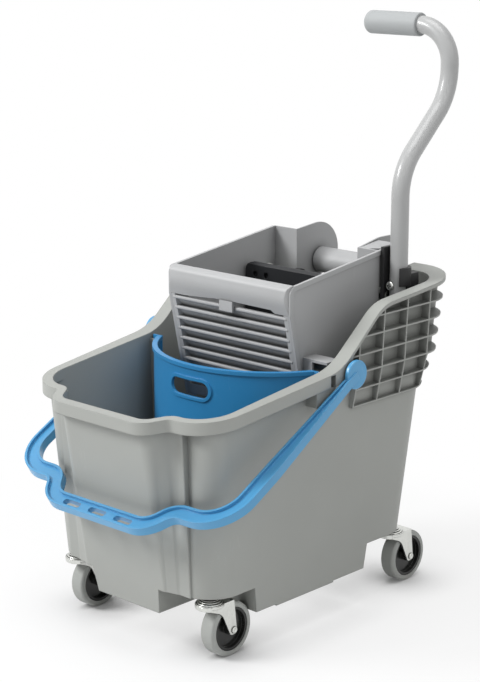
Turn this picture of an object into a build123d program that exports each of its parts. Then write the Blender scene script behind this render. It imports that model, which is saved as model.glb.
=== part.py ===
"""Single mop bucket trolley: a tub on four castors with a carrying bail, a divider and a lever wringer.

Millimetres, +Z up, the nose of the tub towards -Y, the lever at the back on the right (+X).
Sizes are written in a working frame whose Y zero lies near the middle of the tub's floor.
The floor is at GROUND there. Every piece is moved at the end, so that the origin is on the floor, under
the middle of the whole.
"""
from build123d import *
from math import cos, radians, sin, sqrt, tan
import os

# Castors
GROUND = 5.0
WHEEL_RADIUS = 40.0
TYRE_WIDTH = 24.0
TYRE_THICKNESS = 8.0
TYRE_ROUND = 4.0
HUB_WEB = 9.0
HUB_RIM = 4.0
HUB_INSET = 1.0
HUB_BOSS_RADIUS = 9.0
AXLE_RADIUS = 4.0
AXLE_HEAD_RADIUS = 5.0
AXLE_HEAD = 1.4
TRAIL = 32.0
HALF_TRACK = 135.0
FRONT_CASTOR_Y = -198.5
REAR_CASTOR_Y = 201.0
FORK_GAP = 1.7
FORK_PLATE = 2.5
FORK_ROUND = 6.5
FORK_RAKE = 6.0
FORK_FLANK_FRONT = 13.5
FORK_FLANK_Y = 8.4
FORK_FLANK_DROP = 12.5
FORK_FLANK_ROUND = 22.0
FORK_SKIRT = 3.5
CROWN_RADIUS = 20.5
CROWN_CLEARANCE = 2.5
RACE_RADIUS = 18.5
RACE_HEIGHT = 4.0
RACE_STEP_RADIUS = 14.0
RACE_STEP_HEIGHT = 3.5
RACE_EDGE = 1.2
STUD_RADIUS = 6.0
STUD_HEX = 16.0
STUD_DEPTH = 12.0
STUD_HEAD_RADIUS = 9.0
STUD_HEAD = 2.2
STUD_NECK = 3.0

# Clearances
RUN = 0.05
SIDE_PLAY = 0.3
SEAT_GAP = 0.3

# Tub: plan sizes at the foot of its skirt, and how much each wall leans out
SKIRT_FOOT = 62.5
SKIRT_TONGUE = 2.5
SKIRT_TONGUE_FRONT = -88.0
SKIRT_TONGUE_REAR = 37.0
FOOT_NOSE = 226.0
FOOT_SHOULDER = 223.0
FOOT_NOSE_HALF = 80.0
FOOT_HALF_WIDTH = 160.0
FOOT_REAR = 212.0
NOSE_FLARE = 22.0
NOSE_LEAN = 9.35
SHOULDER_LEAN = 3.5
SIDE_LEAN = 2.65
REAR_LEAN = 7.0
NOSE_LEAN_SIDE = 1.0
WALL = 3.5
NOSE_ROUND = 25.0
NOTCH_ROUND = 20.0
RIM_NOTCH_ROUND = 10.0
STEP_X = 124.0
STEP_EDGE = 1.5
LOBE_LEAN = 1.1
LOBE_ROUND = 54.0
LOBE_ROUND_TOP = 24.0
RECESS_TOP = 349.0
REAR_ROUND = 51.0
FLOOR = 4.5
WALL_ABOVE_RIM = 12.0
POCKET_HALF = 62.0
POCKET_FRONT = 129.0
POCKET_REAR = 106.0
POCKET_SLOPE = 6.0
STUD_BOSS_RADIUS = 9.5

# Rim, seen from the side
RIM_FRONT_Z = 364.0
RIM_DIP_Y = 6.0
RIM_DIP_Z = 394.5
RIM_CREST_Y = 98.0
RIM_CREST_Z = 474.8
RIM_REAR_Z = 489.0
RIM_DIP_ROUND = 90.0
RIM_CREST_ROUND = 70.0
RIM_PLATE = 3.5
RIM_LIP = 3.0
RIM_LIP_FRONT = 18.0
RIM_LIP_REAR = 5.5
RIM_OVERHANG = 10.0
RIM_SIDE_OVERHANG = 17.0
RIM_REAR_OVERHANG = 31.0
RIM_CORNER_ROUND = 78.0
TAPER_ROUND = 300.0

# Waffle ribs on the high back
FIN_FOOT = 327.0
FIN_PITCH = 26.2
FIN_BULGE_ROWS = 2
FIN_BULGE = 0.65
FIN_COUNT = 6
FIN = 2.6
FIN_FRONT = 52.0
FIN_FOOT_SIDE = 7.0
FIN_FOOT_REAR = 14.0
FIN_ROUND = 70.0
SIDE_RIB_PITCH = 53.0
SIDE_RIBS = 4
REAR_RIB_PITCH = 50.0
REAR_RIBS = 7
NOTCH_HALF = 97.0
NOTCH_FOOT = 457.0

# Bail
PIVOT_Y = 30.0
PIVOT_Z = 386.0
PIVOT_BOSS_RADIUS = 14.0
PIVOT_PIN_RADIUS = 8.0
PIVOT_PIN_DEPTH = 17.0
PIVOT_PLAY = 0.25
DISC_RADIUS = 21.0
DISC = 7.0
DISC_GAP = 2.4
BAIL_REACH = 370.0
BAIL_HALF_WIDTH = 220.0
BAIL_WIDTH = 24.0
BAIL_HEIGHT = 13.0
BAIL_ARM_END = 8.0
BAIL_NOSE_HALF = 95.0
BAIL_NOSE_DEPTH = 40.0
BAIL_NOSE_ROUND = 40.0
BAIL_NOTCH_ROUND = 30.0
BAIL_LOBE_ROUND = 55.0
BAIL_FLANGE = 3.6
BAIL_GROOVE = 4.5
BAIL_SLOT_LENGTH = 34.0
BAIL_SLOT_WIDTH = 9.0
BAIL_SLOT_PITCH = 52.0
BAIL_SLOTS = 3
BAIL_HANG = 29.2

# Catch panel ahead of the pivot, on each side of the tub
PANEL_FRONT = 43.0
PANEL_LENGTH = 45.0
PANEL_FOOT = 349.0
PANEL_SLOT_WIDTH = 10.0
PANEL_SLOT_HEIGHT = 18.0
PANEL_SLOT_Y = -11.0
PANEL_SLOT_Z = 382.0
PANEL_SLOT_DEPTH = 9.0

# Divider
DIVIDER_RADIUS = 175.0
DIVIDER_CENTRE_Y = 75.0
DIVIDER_SWEEP = 62.0
DIVIDER_TOP = 390.0
DIVIDER_WALL = 3.2
DIVIDER_BEAD = 8.0
DIVIDER_BEAD_HEIGHT = 6.0
HAND_SLOT_LENGTH = 74.0
HAND_SLOT_HEIGHT = 24.0
HAND_SLOT_DROP = 35.0
HAND_SLOT_LIP = 5.0
HAND_SLOT_PROUD = 2.0
FLANGE_PLAY = 1.6
GUIDE_RIB = 3.0
FLANGE_WALL_GAP = 2.5

# Wringer hopper
HOPPER_HALF = 120.0
HOPPER_WALL = 3.0
HOPPER_FOOT = 300.0
HOPPER_FRONT = 20.0
HOPPER_LIP_FOOT = 465.0
HOPPER_FRONT_TOP = 506.0
HOPPER_RISE = 0.13
HOPPER_ROUND = 12.0
GRILLE_LEAN = 12.2
LEFT_JOG = 212.0
RIGHT_JOG = 178.0
RIGHT_WALL_END = 190.0
EAR_HALF = 83.0
LEFT_EAR_HALF = 74.0
SHOULDER_LENGTH = 44.0
SHOULDER_SLOT_WIDTH = 21.0
SHOULDER_SLOT_LENGTH = 13.0
EAR_TOP = 541.0
EAR_FOOT = 430.0
LEFT_EAR_REAR = 312.0
RIGHT_EAR_REAR = 297.0
EAR_ROUND = 48.0
EAR_HEEL_ROUND = 10.0
EAR_NECK_ROUND = 30.0
BEAD = 7.0
BEAD_PROUD = 2.0
LIP_BULGE = 6.0
LIP_WALL = 4.5
LIP_BULGE_ROUND = 40.0
LIP_ROLL_ROUND = 9.0
LIP_INNER_ROUND = 3.0
LIP_CORNER_ROUND = 10.0
LIP_SLOT_HEIGHT = 5.5
LIP_SLOT_LEFT = 100.0
LIP_SLOT_RIGHT = 94.0
LIP_SLOT_TAPER = 8.0
TAB_WIDTH = 26.0
TAB_DROP = 11.0
HOOK_FRONT = 10.0
HOOK_FRONT_LEFT = 70.0
HOOK_LENGTH = 28.0
HOOK_TOP = 400.0
HOOK_HEIGHT = 21.7
HOOK_REACH = 46.0
HOOK_WALL = 4.0
HOOK_WEB = 18.0
LEDGE_DEPTH = 18.0
LEDGE = 4.0
RAIL_WIDTH = 17.0
RAIL = 5.0
RAIL_TOP = 327.7
SIEVE = 3.0
SIEVE_SLOT_LENGTH = 50.0
SIEVE_SLOT_WIDTH = 6.0
SIEVE_SLOT_PITCH_X = 62.0
SIEVE_SLOT_PITCH_Y = 18.0
SLAT_PITCH = 16.4
SLATS = 8
SLAT_DEPTH = 16.0
SLAT_FALL = 17.0
SLAT = 6.0
SLAT_RUN = 4.0
SLAT_HEEL = 3.0
SLAT_BACK = 5.0
SLAT_NOSE = 2.6
SLAT_TOP_GAP = 2.0
GRILLE_STILE = 7.0
GRILLE_STILE_SLANT = 13.0
GRILLE_KICK = 3.4
BEAM_Y = 268.0
BEAM_Z = 481.0
BEAM_RADIUS = 20.5
BEAM_WALL = 4.0
BEAM_END_GAP = 3.0
BEAM_SOCKET = 14.0

# Press and its drive
PLATE_Y = 138.0
PLATE = 8.0
PLATE_HALF = 112.0
PLATE_TOP = 491.0
PLATE_BEVEL = 3.5
PLATE_ROUND = 14.0
PLATE_HOLE_RADIUS = 5.0
PLATE_HOLE_PITCH = 22.5
PLATE_HOLE_INSET = 21.0
PLATE_HOLE_DROP = 18.0
PLATE_HOLE_DEPTH = 4.8
CARRIAGE = 4.0
CARRIAGE_HALF = 105.0
CARRIAGE_TOP = 487.0
CARRIAGE_LENGTH = 14.0
CARRIAGE_TOP_PLATE = 3.0
PRESS_SCREW_RADIUS = 2.5
PRESS_SCREW_HEAD = 5.0
PRESS_SCREW_HEAD_HEIGHT = 2.5
PRESS_SCREW_X = 30.0
PRESS_SCREW_Z = 440.0
SHAFT_Y = 195.0
SHAFT_Z = 462.0
SHAFT_RADIUS = 10.0
SHAFT_WALL_GAP = 4.0
BUSH_WALL = 3.0
BUSH_FLANGE = 3.4
BUSH_FLANGE_THICK = 2.5
FINGER_LENGTH = 95.0
FINGER_START = 10.0
LEVER_SWING = 46.0
FINGER = 8.0
FINGER_HUB_RADIUS = 17.0
FINGER_TIP_RADIUS = 10.0
FINGER_X = 52.0
CRANK_PIN_RADIUS = 6.0
YOKE = 6.0
YOKE_GAP = 3.0
YOKE_EDGE = 6.0
YOKE_PLAY = 0.5

# Lever
TUBE_X = 142.0
TUBE_Y = 200.0
TUBE_FOOT = 440.0
TUBE_RADIUS = 13.5
TUBE_WALL = 2.0
SWAN_START = 612.0
SWAN_ANGLE = 47.0
SWAN_OFFSET = 112.0
SWAN_ROUND = 90.0
GRIP_Z = 855.0
GRIP_BEND = 55.0
GRIP_RADIUS = 17.8
GRIP_LENGTH = 101.0
GRIP_WALL_END = 6.0
GRIP_ROUND = 8.0
BLADE = 5.8
BLADE_GAP = 0.6
BLADE_FRONT = 12.0
BLADE_REAR = 20.0
BLADE_DROP = 22.0
BLADE_ABOVE_SADDLE = 30.0
SADDLE_WALL = 5.0
SADDLE_RISE = 6.0
SADDLE_HEIGHT = 62.0
SADDLE_WRAP = 27.0
SADDLE_MOUTH = 12.0
SADDLE_LOBE = 9.0
SADDLE_LOBE_WIDTH = 16.0
SADDLE_LOBE_DROP = 10.0
SADDLE_LOBE_HEIGHT = 36.0
LEVER_SCREW_RADIUS = 3.0
LEVER_SCREW_HEAD_RADIUS = 7.0
LEVER_SCREW_HEAD = 3.4
LEVER_SCREW_RISE = 40.0
LEVER_SCREW_PITCH = 30.0
LEVER_SCREW_SHIFT = 5.0

FAR = 400.0
CUT = 1.0

# Castor heights, from the floor up to the tub's own floor
AXLE_Z = GROUND + WHEEL_RADIUS
CROWN_FOOT = AXLE_Z + WHEEL_RADIUS + CROWN_CLEARANCE
CROWN_TOP = CROWN_FOOT + FORK_PLATE
RACE_FOOT = CROWN_TOP + SIDE_PLAY
RACE_TOP = RACE_FOOT + RACE_HEIGHT
RACE_STEP_TOP = RACE_TOP + RACE_STEP_HEIGHT
FLOOR_FOOT = RACE_STEP_TOP + STUD_NECK
FLOOR_TOP = FLOOR_FOOT + FLOOR
WALL_TOP = RIM_REAR_Z + WALL_ABOVE_RIM


def block(x0, x1, y0, y1, z0, z1):
    """A box from its lowest to its highest corner."""
    middle = Pos((x0 + x1) / 2, (y0 + y1) / 2, (z0 + z1) / 2)
    return middle * Box(x1 - x0, y1 - y0, z1 - z0)


def bar_x(radius, x0, x1, y, z):
    """A round bar along X."""
    return Pos((x0 + x1) / 2, y, z) * Rot(0, 90, 0) * Cylinder(radius, x1 - x0)


def bar_y(radius, y0, y1, x, z):
    """A round bar along Y."""
    return Pos(x, (y0 + y1) / 2, z) * Rot(90, 0, 0) * Cylinder(radius, y1 - y0)


def bar_z(radius, z0, z1, x=0.0, y=0.0):
    """A round bar along Z."""
    return Pos(x, y, (z0 + z1) / 2) * Cylinder(radius, z1 - z0)


def outline(points, radii):
    """A flat face with rounded corners."""
    return make_face(FilletPolyline(*points, radius=radii, close=True))


def side_prism(points, x0, x1, radii=None):
    """A side view (y, z) drawn out from x0 to x1."""
    radii = radii or [0.0] * len(points)
    return extrude(Plane.YZ.offset(x0) * outline(points, radii), amount=x1 - x0)


def front_prism(points, y0, y1, radii=None):
    """A front view (x, z) drawn out from y0 to y1."""
    radii = radii or [0.0] * len(points)
    return extrude(Plane.XZ.offset(-y1) * outline(points, radii), amount=y1 - y0)


def both_sides(points):
    """The points of the right half, then those of the left half in reverse."""
    return list(points) + [(-x, y) for x, y in reversed(points)]


def both_ways(values):
    """The corner radii of the right half, then of the left half."""
    return list(values) + list(reversed(values))


# Tub walls

def lean(angle, z):
    """How far a wall has leaned out at height z."""
    return tan(radians(angle)) * (z - SKIRT_FOOT)


def side_x(z):
    return FOOT_HALF_WIDTH + lean(SIDE_LEAN, z)


def rear_y(z):
    return FOOT_REAR + lean(REAR_LEAN, z)


def shoulder_y(z):
    return -FOOT_SHOULDER - lean(SHOULDER_LEAN, z)


def nose_y(z):
    return -FOOT_NOSE - lean(NOSE_LEAN, z)


def wall_plan(z, inset=0.0):
    """The tub's wall at height z, moved in by inset."""
    nose_half = FOOT_NOSE_HALF + lean(NOSE_LEAN_SIDE, z)
    depth = shoulder_y(z) - nose_y(z)
    slant = sqrt(depth**2 + NOSE_FLARE**2)
    shift = inset * (1 - NOSE_FLARE / slant) / (depth / slant)
    right = [
        (nose_half - shift, nose_y(z) + inset),
        (nose_half + NOSE_FLARE - shift, shoulder_y(z) + inset),
        (side_x(z) - inset, shoulder_y(z) + inset),
        (side_x(z) - inset, rear_y(z) - inset),
    ]
    radii = [NOSE_ROUND - inset, NOTCH_ROUND + inset, LOBE_ROUND - inset, REAR_ROUND - inset]
    return Pos(0, 0, z) * outline(both_sides(right), both_ways(radii))


def wall_body(z0, z1, inset=0.0):
    return loft([wall_plan(z0, inset), wall_plan(z1, inset)], ruled=True)


def lobe_plan(z, inset):
    """The tub below the rim without its nose: the lobes stand steeper than the nose."""
    front = -FOOT_SHOULDER - lean(LOBE_LEAN, z)
    share = (z - SKIRT_FOOT) / (RIM_FRONT_Z - SKIRT_FOOT)
    lobe_round = LOBE_ROUND + (LOBE_ROUND_TOP - LOBE_ROUND) * share
    right = [(side_x(z) - inset, front + inset), (side_x(z) - inset, rear_y(z) - inset)]
    radii = [lobe_round - inset, REAR_ROUND - inset]
    return Pos(0, 0, z) * outline(both_sides(right), both_ways(radii))


def nose_plan(z, inset):
    """The nose with its shoulders, which end in a step that grows towards the rim."""
    nose_half = FOOT_NOSE_HALF + lean(NOSE_LEAN_SIDE, z)
    depth = shoulder_y(z) - nose_y(z)
    slant = sqrt(depth**2 + NOSE_FLARE**2)
    shift = inset * (1 - NOSE_FLARE / slant) / (depth / slant)
    right = [
        (nose_half - shift, nose_y(z) + inset),
        (nose_half + NOSE_FLARE - shift, shoulder_y(z) + inset),
        (STEP_X - inset, shoulder_y(z) + inset),
        (STEP_X - inset, 0.0),
    ]
    radii = [NOSE_ROUND - inset, NOTCH_ROUND + inset, 0.0 if inset else STEP_EDGE, 0.0]
    return Pos(0, 0, z) * outline(both_sides(right), both_ways(radii))


def stepped_body(z0, z1, inset=0.0):
    lobes = loft([lobe_plan(z0, inset), lobe_plan(z1, inset)], ruled=True)
    return lobes + loft([nose_plan(z0, inset), nose_plan(z1, inset)], ruled=True)


RIM_REACH = FAR


def rim_line(drop=0.0):
    """The rim's top line in side view, or a line that runs lower by a drop."""
    slope_front = (RIM_DIP_Z - RIM_FRONT_Z) / (RIM_DIP_Y + FOOT_NOSE + RIM_OVERHANG)
    slope_rear = (RIM_REAR_Z - RIM_CREST_Z) / (FOOT_REAR + RIM_REAR_OVERHANG - RIM_CREST_Y)
    front = (-RIM_REACH, RIM_DIP_Z - slope_front * (RIM_DIP_Y + RIM_REACH) - drop)
    dip = (RIM_DIP_Y + drop / 2, RIM_DIP_Z - drop)
    crest = (RIM_CREST_Y + drop / 2, RIM_CREST_Z - drop)
    rear = (RIM_REACH, RIM_CREST_Z + slope_rear * (RIM_REACH - RIM_CREST_Y) - drop)
    return [front, dip, crest, rear]


def lip_line():
    """The lower edge of the rim's lip: deep along the front up to the bail's pivots, short behind them."""
    front, dip, crest, rear = rim_line()
    slope_front = (dip[1] - front[1]) / (dip[0] - front[0])
    slope = (crest[1] - dip[1]) / (crest[0] - dip[0])
    return [
        (front[0], front[1] - RIM_LIP_FRONT),
        (PIVOT_Y, dip[1] + slope_front * (PIVOT_Y - dip[0]) - RIM_LIP_FRONT),
        (PIVOT_Y + CUT, dip[1] + slope * (PIVOT_Y + CUT - dip[0]) - RIM_LIP_REAR),
        (crest[0], crest[1] - RIM_LIP_REAR),
        (rear[0], rear[1] - RIM_LIP_REAR),
    ]


RIM_ROUNDS = [0.0, RIM_DIP_ROUND, RIM_CREST_ROUND, 0.0]
LIP_ROUNDS = [0.0, 0.0, 0.0, RIM_CREST_ROUND, 0.0]


def below_line(line, rounds):
    """All that lies under a line in side view."""
    foot = [(RIM_REACH, 0.0), (-RIM_REACH, 0.0)]
    return side_prism(line + foot, -FAR, FAR, rounds + [0.0, 0.0])


def below_rim(drop=0.0):
    return below_line(rim_line(drop), RIM_ROUNDS)


def rim_plan(inset=0.0):
    """The rim's outer edge in plan."""
    z_front = RIM_FRONT_Z
    nose_half = FOOT_NOSE_HALF + lean(NOSE_LEAN_SIDE, z_front)
    out = RIM_OVERHANG - inset
    depth = shoulder_y(z_front) - nose_y(z_front)
    slant = sqrt(depth**2 + NOSE_FLARE**2)
    shift = out * (1 - NOSE_FLARE / slant) / (depth / slant)
    side = side_x(RIM_REAR_Z) + RIM_SIDE_OVERHANG - inset
    right = [
        (nose_half + shift, nose_y(z_front) - out),
        (nose_half + NOSE_FLARE + shift, shoulder_y(z_front) - out),
        (side_x(z_front) + out, shoulder_y(z_front) - out),
        (side, 0.0),
        (side, rear_y(RIM_REAR_Z) + RIM_REAR_OVERHANG - inset),
    ]
    radii = [
        NOSE_ROUND + out,
        RIM_NOTCH_ROUND + inset,
        LOBE_ROUND + out,
        TAPER_ROUND,
        RIM_CORNER_ROUND - inset,
    ]
    return outline(both_sides(right), both_ways(radii))


RIM_SIDE = side_x(RIM_REAR_Z) + RIM_SIDE_OVERHANG
FIN_BULGE_Z = FIN_FOOT + FIN_BULGE_ROWS * FIN_PITCH


def fin_plan(z):
    """The outer edge of a waffle rib at height z."""
    top = RIM_REAR_Z - RIM_LIP_REAR
    if z <= FIN_BULGE_Z:
        share = FIN_BULGE * (z - FIN_FOOT) / (FIN_BULGE_Z - FIN_FOOT)
    else:
        share = FIN_BULGE + (1 - FIN_BULGE) * (z - FIN_BULGE_Z) / (top - FIN_BULGE_Z)
    side_foot = side_x(FIN_FOOT) + FIN_FOOT_SIDE
    side_top = RIM_SIDE - RIM_LIP
    rear_foot = rear_y(FIN_FOOT) + FIN_FOOT_REAR
    rear_top = rear_y(RIM_REAR_Z) + RIM_REAR_OVERHANG - RIM_LIP
    side = side_foot + (side_top - side_foot) * share
    rear = rear_foot + (rear_top - rear_foot) * share
    points = [(side, 0.0), (side, rear), (-side, rear), (-side, 0.0)]
    return Pos(0, 0, z) * outline(points, [0.0, FIN_ROUND, FIN_ROUND, 0.0])


def hook_front(side):
    """Where a hook of the wringer and its ledge begin; the left one sits further back."""
    return HOOK_FRONT if side > 0 else HOOK_FRONT_LEFT


def make_tub():
    # Below the rim the lobes stand back behind a step; behind the lip the wall widens to the rim
    outer = stepped_body(SKIRT_FOOT, RECESS_TOP) + wall_body(RECESS_TOP, WALL_TOP)
    shelf = RECESS_TOP + WALL
    inside = stepped_body(FLOOR_TOP, shelf, WALL) + wall_body(shelf, WALL_TOP + CUT, WALL)
    under_rim = below_rim()
    tub = outer & under_rim
    # Rim: a plate that follows the top line, with a lip turned down at its outer edge
    rim_block = extrude(Plane.XY.offset(0) * rim_plan(), amount=WALL_TOP)
    rim = (rim_block & under_rim) - below_line(lip_line(), LIP_ROUNDS)
    channel = extrude(rim_plan(RIM_LIP), amount=WALL_TOP)
    rim -= channel & below_rim(RIM_PLATE)
    tub += rim
    # Waffle ribs: level plates and upright ribs between the wall and one sloping envelope
    envelope = loft([fin_plan(z) for z in (FIN_FOOT, FIN_BULGE_Z, WALL_TOP)], ruled=True)
    ribs = []
    for level in range(FIN_COUNT):
        z = FIN_FOOT + level * FIN_PITCH
        front = FIN_FRONT if z < PIVOT_Z + PIVOT_BOSS_RADIUS else 0.0
        ribs.append(block(-FAR, FAR, front, FAR, z, z + FIN))
    for column in range(SIDE_RIBS):
        y = FIN_FRONT + column * SIDE_RIB_PITCH
        ribs.append(block(-FAR, FAR, y, y + FIN, FIN_FOOT, WALL_TOP))
    for column in range(REAR_RIBS):
        x = (column - (REAR_RIBS - 1) / 2) * REAR_RIB_PITCH
        ribs.append(block(x - FIN / 2, x + FIN / 2, FOOT_REAR, FAR, FIN_FOOT, WALL_TOP))
    grid = Part() + ribs
    tub += grid & envelope & below_rim(RIM_PLATE)
    # Bail pivots and catch panels
    panel = [
        (-PANEL_FRONT, RIM_CREST_Z),
        (-PANEL_FRONT, PANEL_FOOT),
        (-PANEL_FRONT + PANEL_LENGTH / 2, PANEL_FOOT),
        (-PANEL_FRONT + PANEL_LENGTH, PANEL_SLOT_Z - PANEL_SLOT_HEIGHT / 4),
        (-PANEL_FRONT + PANEL_LENGTH, RIM_CREST_Z),
    ]
    panels = side_prism(panel, -RIM_SIDE + RIM_PLATE, RIM_SIDE - RIM_PLATE)
    tub += panels & under_rim & rim_block
    tub += bar_x(PIVOT_BOSS_RADIUS, -RIM_SIDE, RIM_SIDE, PIVOT_Y, PIVOT_Z)
    tub -= inside
    for side in (-1, 1):
        slot_mouth = RIM_SIDE - PANEL_SLOT_DEPTH
        tub -= block(
            *sorted((side * slot_mouth, side * RIM_SIDE * 1.1)),
            PANEL_SLOT_Y - PANEL_SLOT_WIDTH / 2,
            PANEL_SLOT_Y + PANEL_SLOT_WIDTH / 2,
            PANEL_SLOT_Z - PANEL_SLOT_HEIGHT / 2,
            PANEL_SLOT_Z + PANEL_SLOT_HEIGHT / 2,
        )
        pin_end = RIM_SIDE - PIVOT_PIN_DEPTH - CUT
        ends = sorted((side * pin_end, side * RIM_SIDE * 1.1))
        tub -= bar_x(PIVOT_PIN_RADIUS + PIVOT_PLAY, *ends, PIVOT_Y, PIVOT_Z)
    # Notch in the high back, where the wringer hangs
    tub -= block(-NOTCH_HALF, NOTCH_HALF, SHAFT_Y, FAR, NOTCH_FOOT, WALL_TOP + CUT)
    # Castor pockets and the hollow under the floor
    pockets = Part() + [castor_pocket(sx, sy) for sx in (-1, 1) for sy in (-1, 1)]
    hollow = stepped_body(SKIRT_FOOT - CUT, FLOOR_FOOT, WALL)
    hollow -= [castor_pocket(sx, sy, WALL) for sx in (-1, 1) for sy in (-1, 1)]
    tub -= hollow
    tub -= pockets
    for x, y in CASTOR_PLACES.values():
        tub += bar_z(STUD_BOSS_RADIUS, FLOOR_FOOT, FLOOR_TOP + STUD_DEPTH, x, y) & outer
    # Guides for the divider and ledges for the wringer's hooks
    inner_wall = wall_body(FLOOR_TOP, WALL_TOP, WALL - 0.5)
    for sx in (-1, 1):
        for y0 in (GUIDE_FRONT, GUIDE_REAR):
            ends = sorted((sx * GUIDE_EDGE, sx * RIM_SIDE))
            rib = block(*ends, y0, y0 + GUIDE_RIB, FLOOR_FOOT, DIVIDER_TOP - DIVIDER_BEAD_HEIGHT)
            tub += rib & inner_wall & below_rim(RIM_PLATE)
        ledge_top = HOOK_TOP - HOOK_HEIGHT - SEAT_GAP
        edge = side_x(ledge_top) - WALL - LEDGE_DEPTH
        ends = sorted((sx * edge, sx * RIM_SIDE))
        front = hook_front(sx)
        ledge = block(*ends, front, front + HOOK_LENGTH, ledge_top - LEDGE, ledge_top)
        tub += ledge & inner_wall
    for x, y in CASTOR_PLACES.values():
        tub -= bar_z(STUD_RADIUS + RUN, 0.0, FLOOR_TOP + STUD_DEPTH - WALL, x, y)
    # A tongue along the foot of each side, a little lower than the rest of the skirt
    for sx in (-1, 1):
        ends = sorted((sx * (FOOT_HALF_WIDTH - WALL), sx * FOOT_HALF_WIDTH))
        heights = (SKIRT_FOOT - SKIRT_TONGUE, SKIRT_FOOT + CUT)
        tub += block(*ends, SKIRT_TONGUE_FRONT, SKIRT_TONGUE_REAR, *heights)
    return tub


def castor_pocket(sx, sy, wall=0.0):
    """The space cut from a corner of the skirt for a castor; with a wall, the space that wall fills."""
    foot = SKIRT_FOOT - WALL
    half = POCKET_HALF - wall
    side = (POCKET_FRONT if sy < 0 else POCKET_REAR) - wall
    top = FLOOR_FOOT + (CUT if wall else 0.0)
    front = [(half, foot), (half + POCKET_SLOPE, top), (FAR, top), (FAR, foot)]
    flank = [(side, foot), (side + POCKET_SLOPE, top), (FAR, top), (FAR, foot)]
    across = front_prism([(sx * x, z) for x, z in front], -FAR, FAR)
    along = side_prism([(sy * y, z) for y, z in flank], -FAR, FAR)
    return across & along


# Castors

CASTOR_PLACES = {
    "front_left": (-HALF_TRACK, FRONT_CASTOR_Y),
    "front_right": (HALF_TRACK, FRONT_CASTOR_Y),
    "rear_left": (-HALF_TRACK, REAR_CASTOR_Y),
    "rear_right": (HALF_TRACK, REAR_CASTOR_Y),
}
FORK_INSIDE = TYRE_WIDTH / 2 + FORK_GAP
FORK_OUTSIDE = FORK_INSIDE + FORK_PLATE
FORK_BACK = TRAIL + FORK_ROUND


def make_race():
    race = bar_z(RACE_RADIUS, RACE_FOOT, RACE_TOP)
    race += bar_z(RACE_STEP_RADIUS, RACE_TOP, RACE_STEP_TOP)
    edges = race.edges().filter_by(GeomType.CIRCLE)
    race = fillet(edges.filter_by_position(Axis.Z, RACE_TOP - SIDE_PLAY, RACE_STEP_TOP), RACE_EDGE)
    return race - bar_z(STUD_RADIUS + RUN, 0.0, RACE_STEP_TOP + CUT)


def make_stud():
    stud = bar_z(STUD_RADIUS, CROWN_FOOT - SIDE_PLAY - STUD_HEAD, FLOOR_FOOT + STUD_DEPTH)
    stud += bar_z(STUD_HEAD_RADIUS, CROWN_FOOT - SIDE_PLAY - STUD_HEAD, CROWN_FOOT - SIDE_PLAY)
    hexagon = RegularPolygon(STUD_HEX / 2, 6, major_radius=False)
    stud += extrude(Pos(0, 0, RACE_STEP_TOP) * hexagon, amount=FLOOR_FOOT - RACE_STEP_TOP)
    return stud


def make_fork():
    crown = bar_z(CROWN_RADIUS, CROWN_FOOT, CROWN_TOP)
    crown += block(-FORK_OUTSIDE, FORK_OUTSIDE, 0.0, FORK_BACK - FORK_RAKE, CROWN_FOOT, CROWN_TOP)
    leg = [
        (-FORK_FLANK_FRONT, CROWN_TOP),
        (FORK_BACK - FORK_RAKE, CROWN_TOP),
        (FORK_BACK, AXLE_Z - FORK_ROUND),
        (TRAIL - FORK_ROUND, AXLE_Z - FORK_ROUND),
        (FORK_FLANK_Y, CROWN_FOOT - FORK_FLANK_DROP),
        (-FORK_FLANK_FRONT, CROWN_FOOT - FORK_SKIRT),
    ]
    radii = [0.0, 0.0, FORK_ROUND * 0.9, FORK_ROUND * 0.8, FORK_FLANK_ROUND, 0.0]
    fork = Part() + crown
    # The crown's front edge is turned down between the legs
    apron = bar_z(CROWN_RADIUS, CROWN_FOOT - FORK_SKIRT, CROWN_FOOT)
    apron -= bar_z(CROWN_RADIUS - FORK_PLATE, 0.0, CROWN_FOOT)
    fork += apron & block(-FORK_OUTSIDE, FORK_OUTSIDE, -FAR, 0.0, 0.0, CROWN_TOP)
    for x in (-FORK_OUTSIDE, FORK_INSIDE):
        fork += side_prism(leg, x, x + FORK_PLATE, radii)
    fork -= bar_z(STUD_RADIUS + RUN, 0.0, CROWN_TOP + CUT)
    return fork - bar_x(AXLE_RADIUS + RUN, -FAR, FAR, TRAIL, AXLE_Z)


def make_axle():
    axle = bar_x(AXLE_RADIUS, -FORK_OUTSIDE, FORK_OUTSIDE, TRAIL, AXLE_Z)
    for side in (-1, 1):
        ends = sorted((side * FORK_OUTSIDE, side * (FORK_OUTSIDE + AXLE_HEAD)))
        axle += bar_x(AXLE_HEAD_RADIUS, *ends, TRAIL, AXLE_Z)
    return axle


HUB_RADIUS = WHEEL_RADIUS - TYRE_THICKNESS


def make_hub():
    half = TYRE_WIDTH / 2 - HUB_INSET
    hub = bar_x(HUB_RADIUS, -half, half, TRAIL, AXLE_Z)
    for side in (-1, 1):
        ends = sorted((side * HUB_WEB / 2, side * (half + CUT)))
        hub -= bar_x(HUB_RADIUS - HUB_RIM, *ends, TRAIL, AXLE_Z)
    hub_half = FORK_INSIDE - SIDE_PLAY
    hub += bar_x(HUB_BOSS_RADIUS, -hub_half, hub_half, TRAIL, AXLE_Z)
    return hub - bar_x(AXLE_RADIUS + RUN, -FAR, FAR, TRAIL, AXLE_Z)


def make_tyre():
    tyre = bar_x(WHEEL_RADIUS, -TYRE_WIDTH / 2, TYRE_WIDTH / 2, TRAIL, AXLE_Z)
    tyre = fillet(tyre.edges().filter_by(GeomType.CIRCLE), TYRE_ROUND)
    return tyre - bar_x(HUB_RADIUS, -FAR, FAR, TRAIL, AXLE_Z)


# Bail

DISC_INSIDE = RIM_SIDE + DISC_GAP


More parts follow.
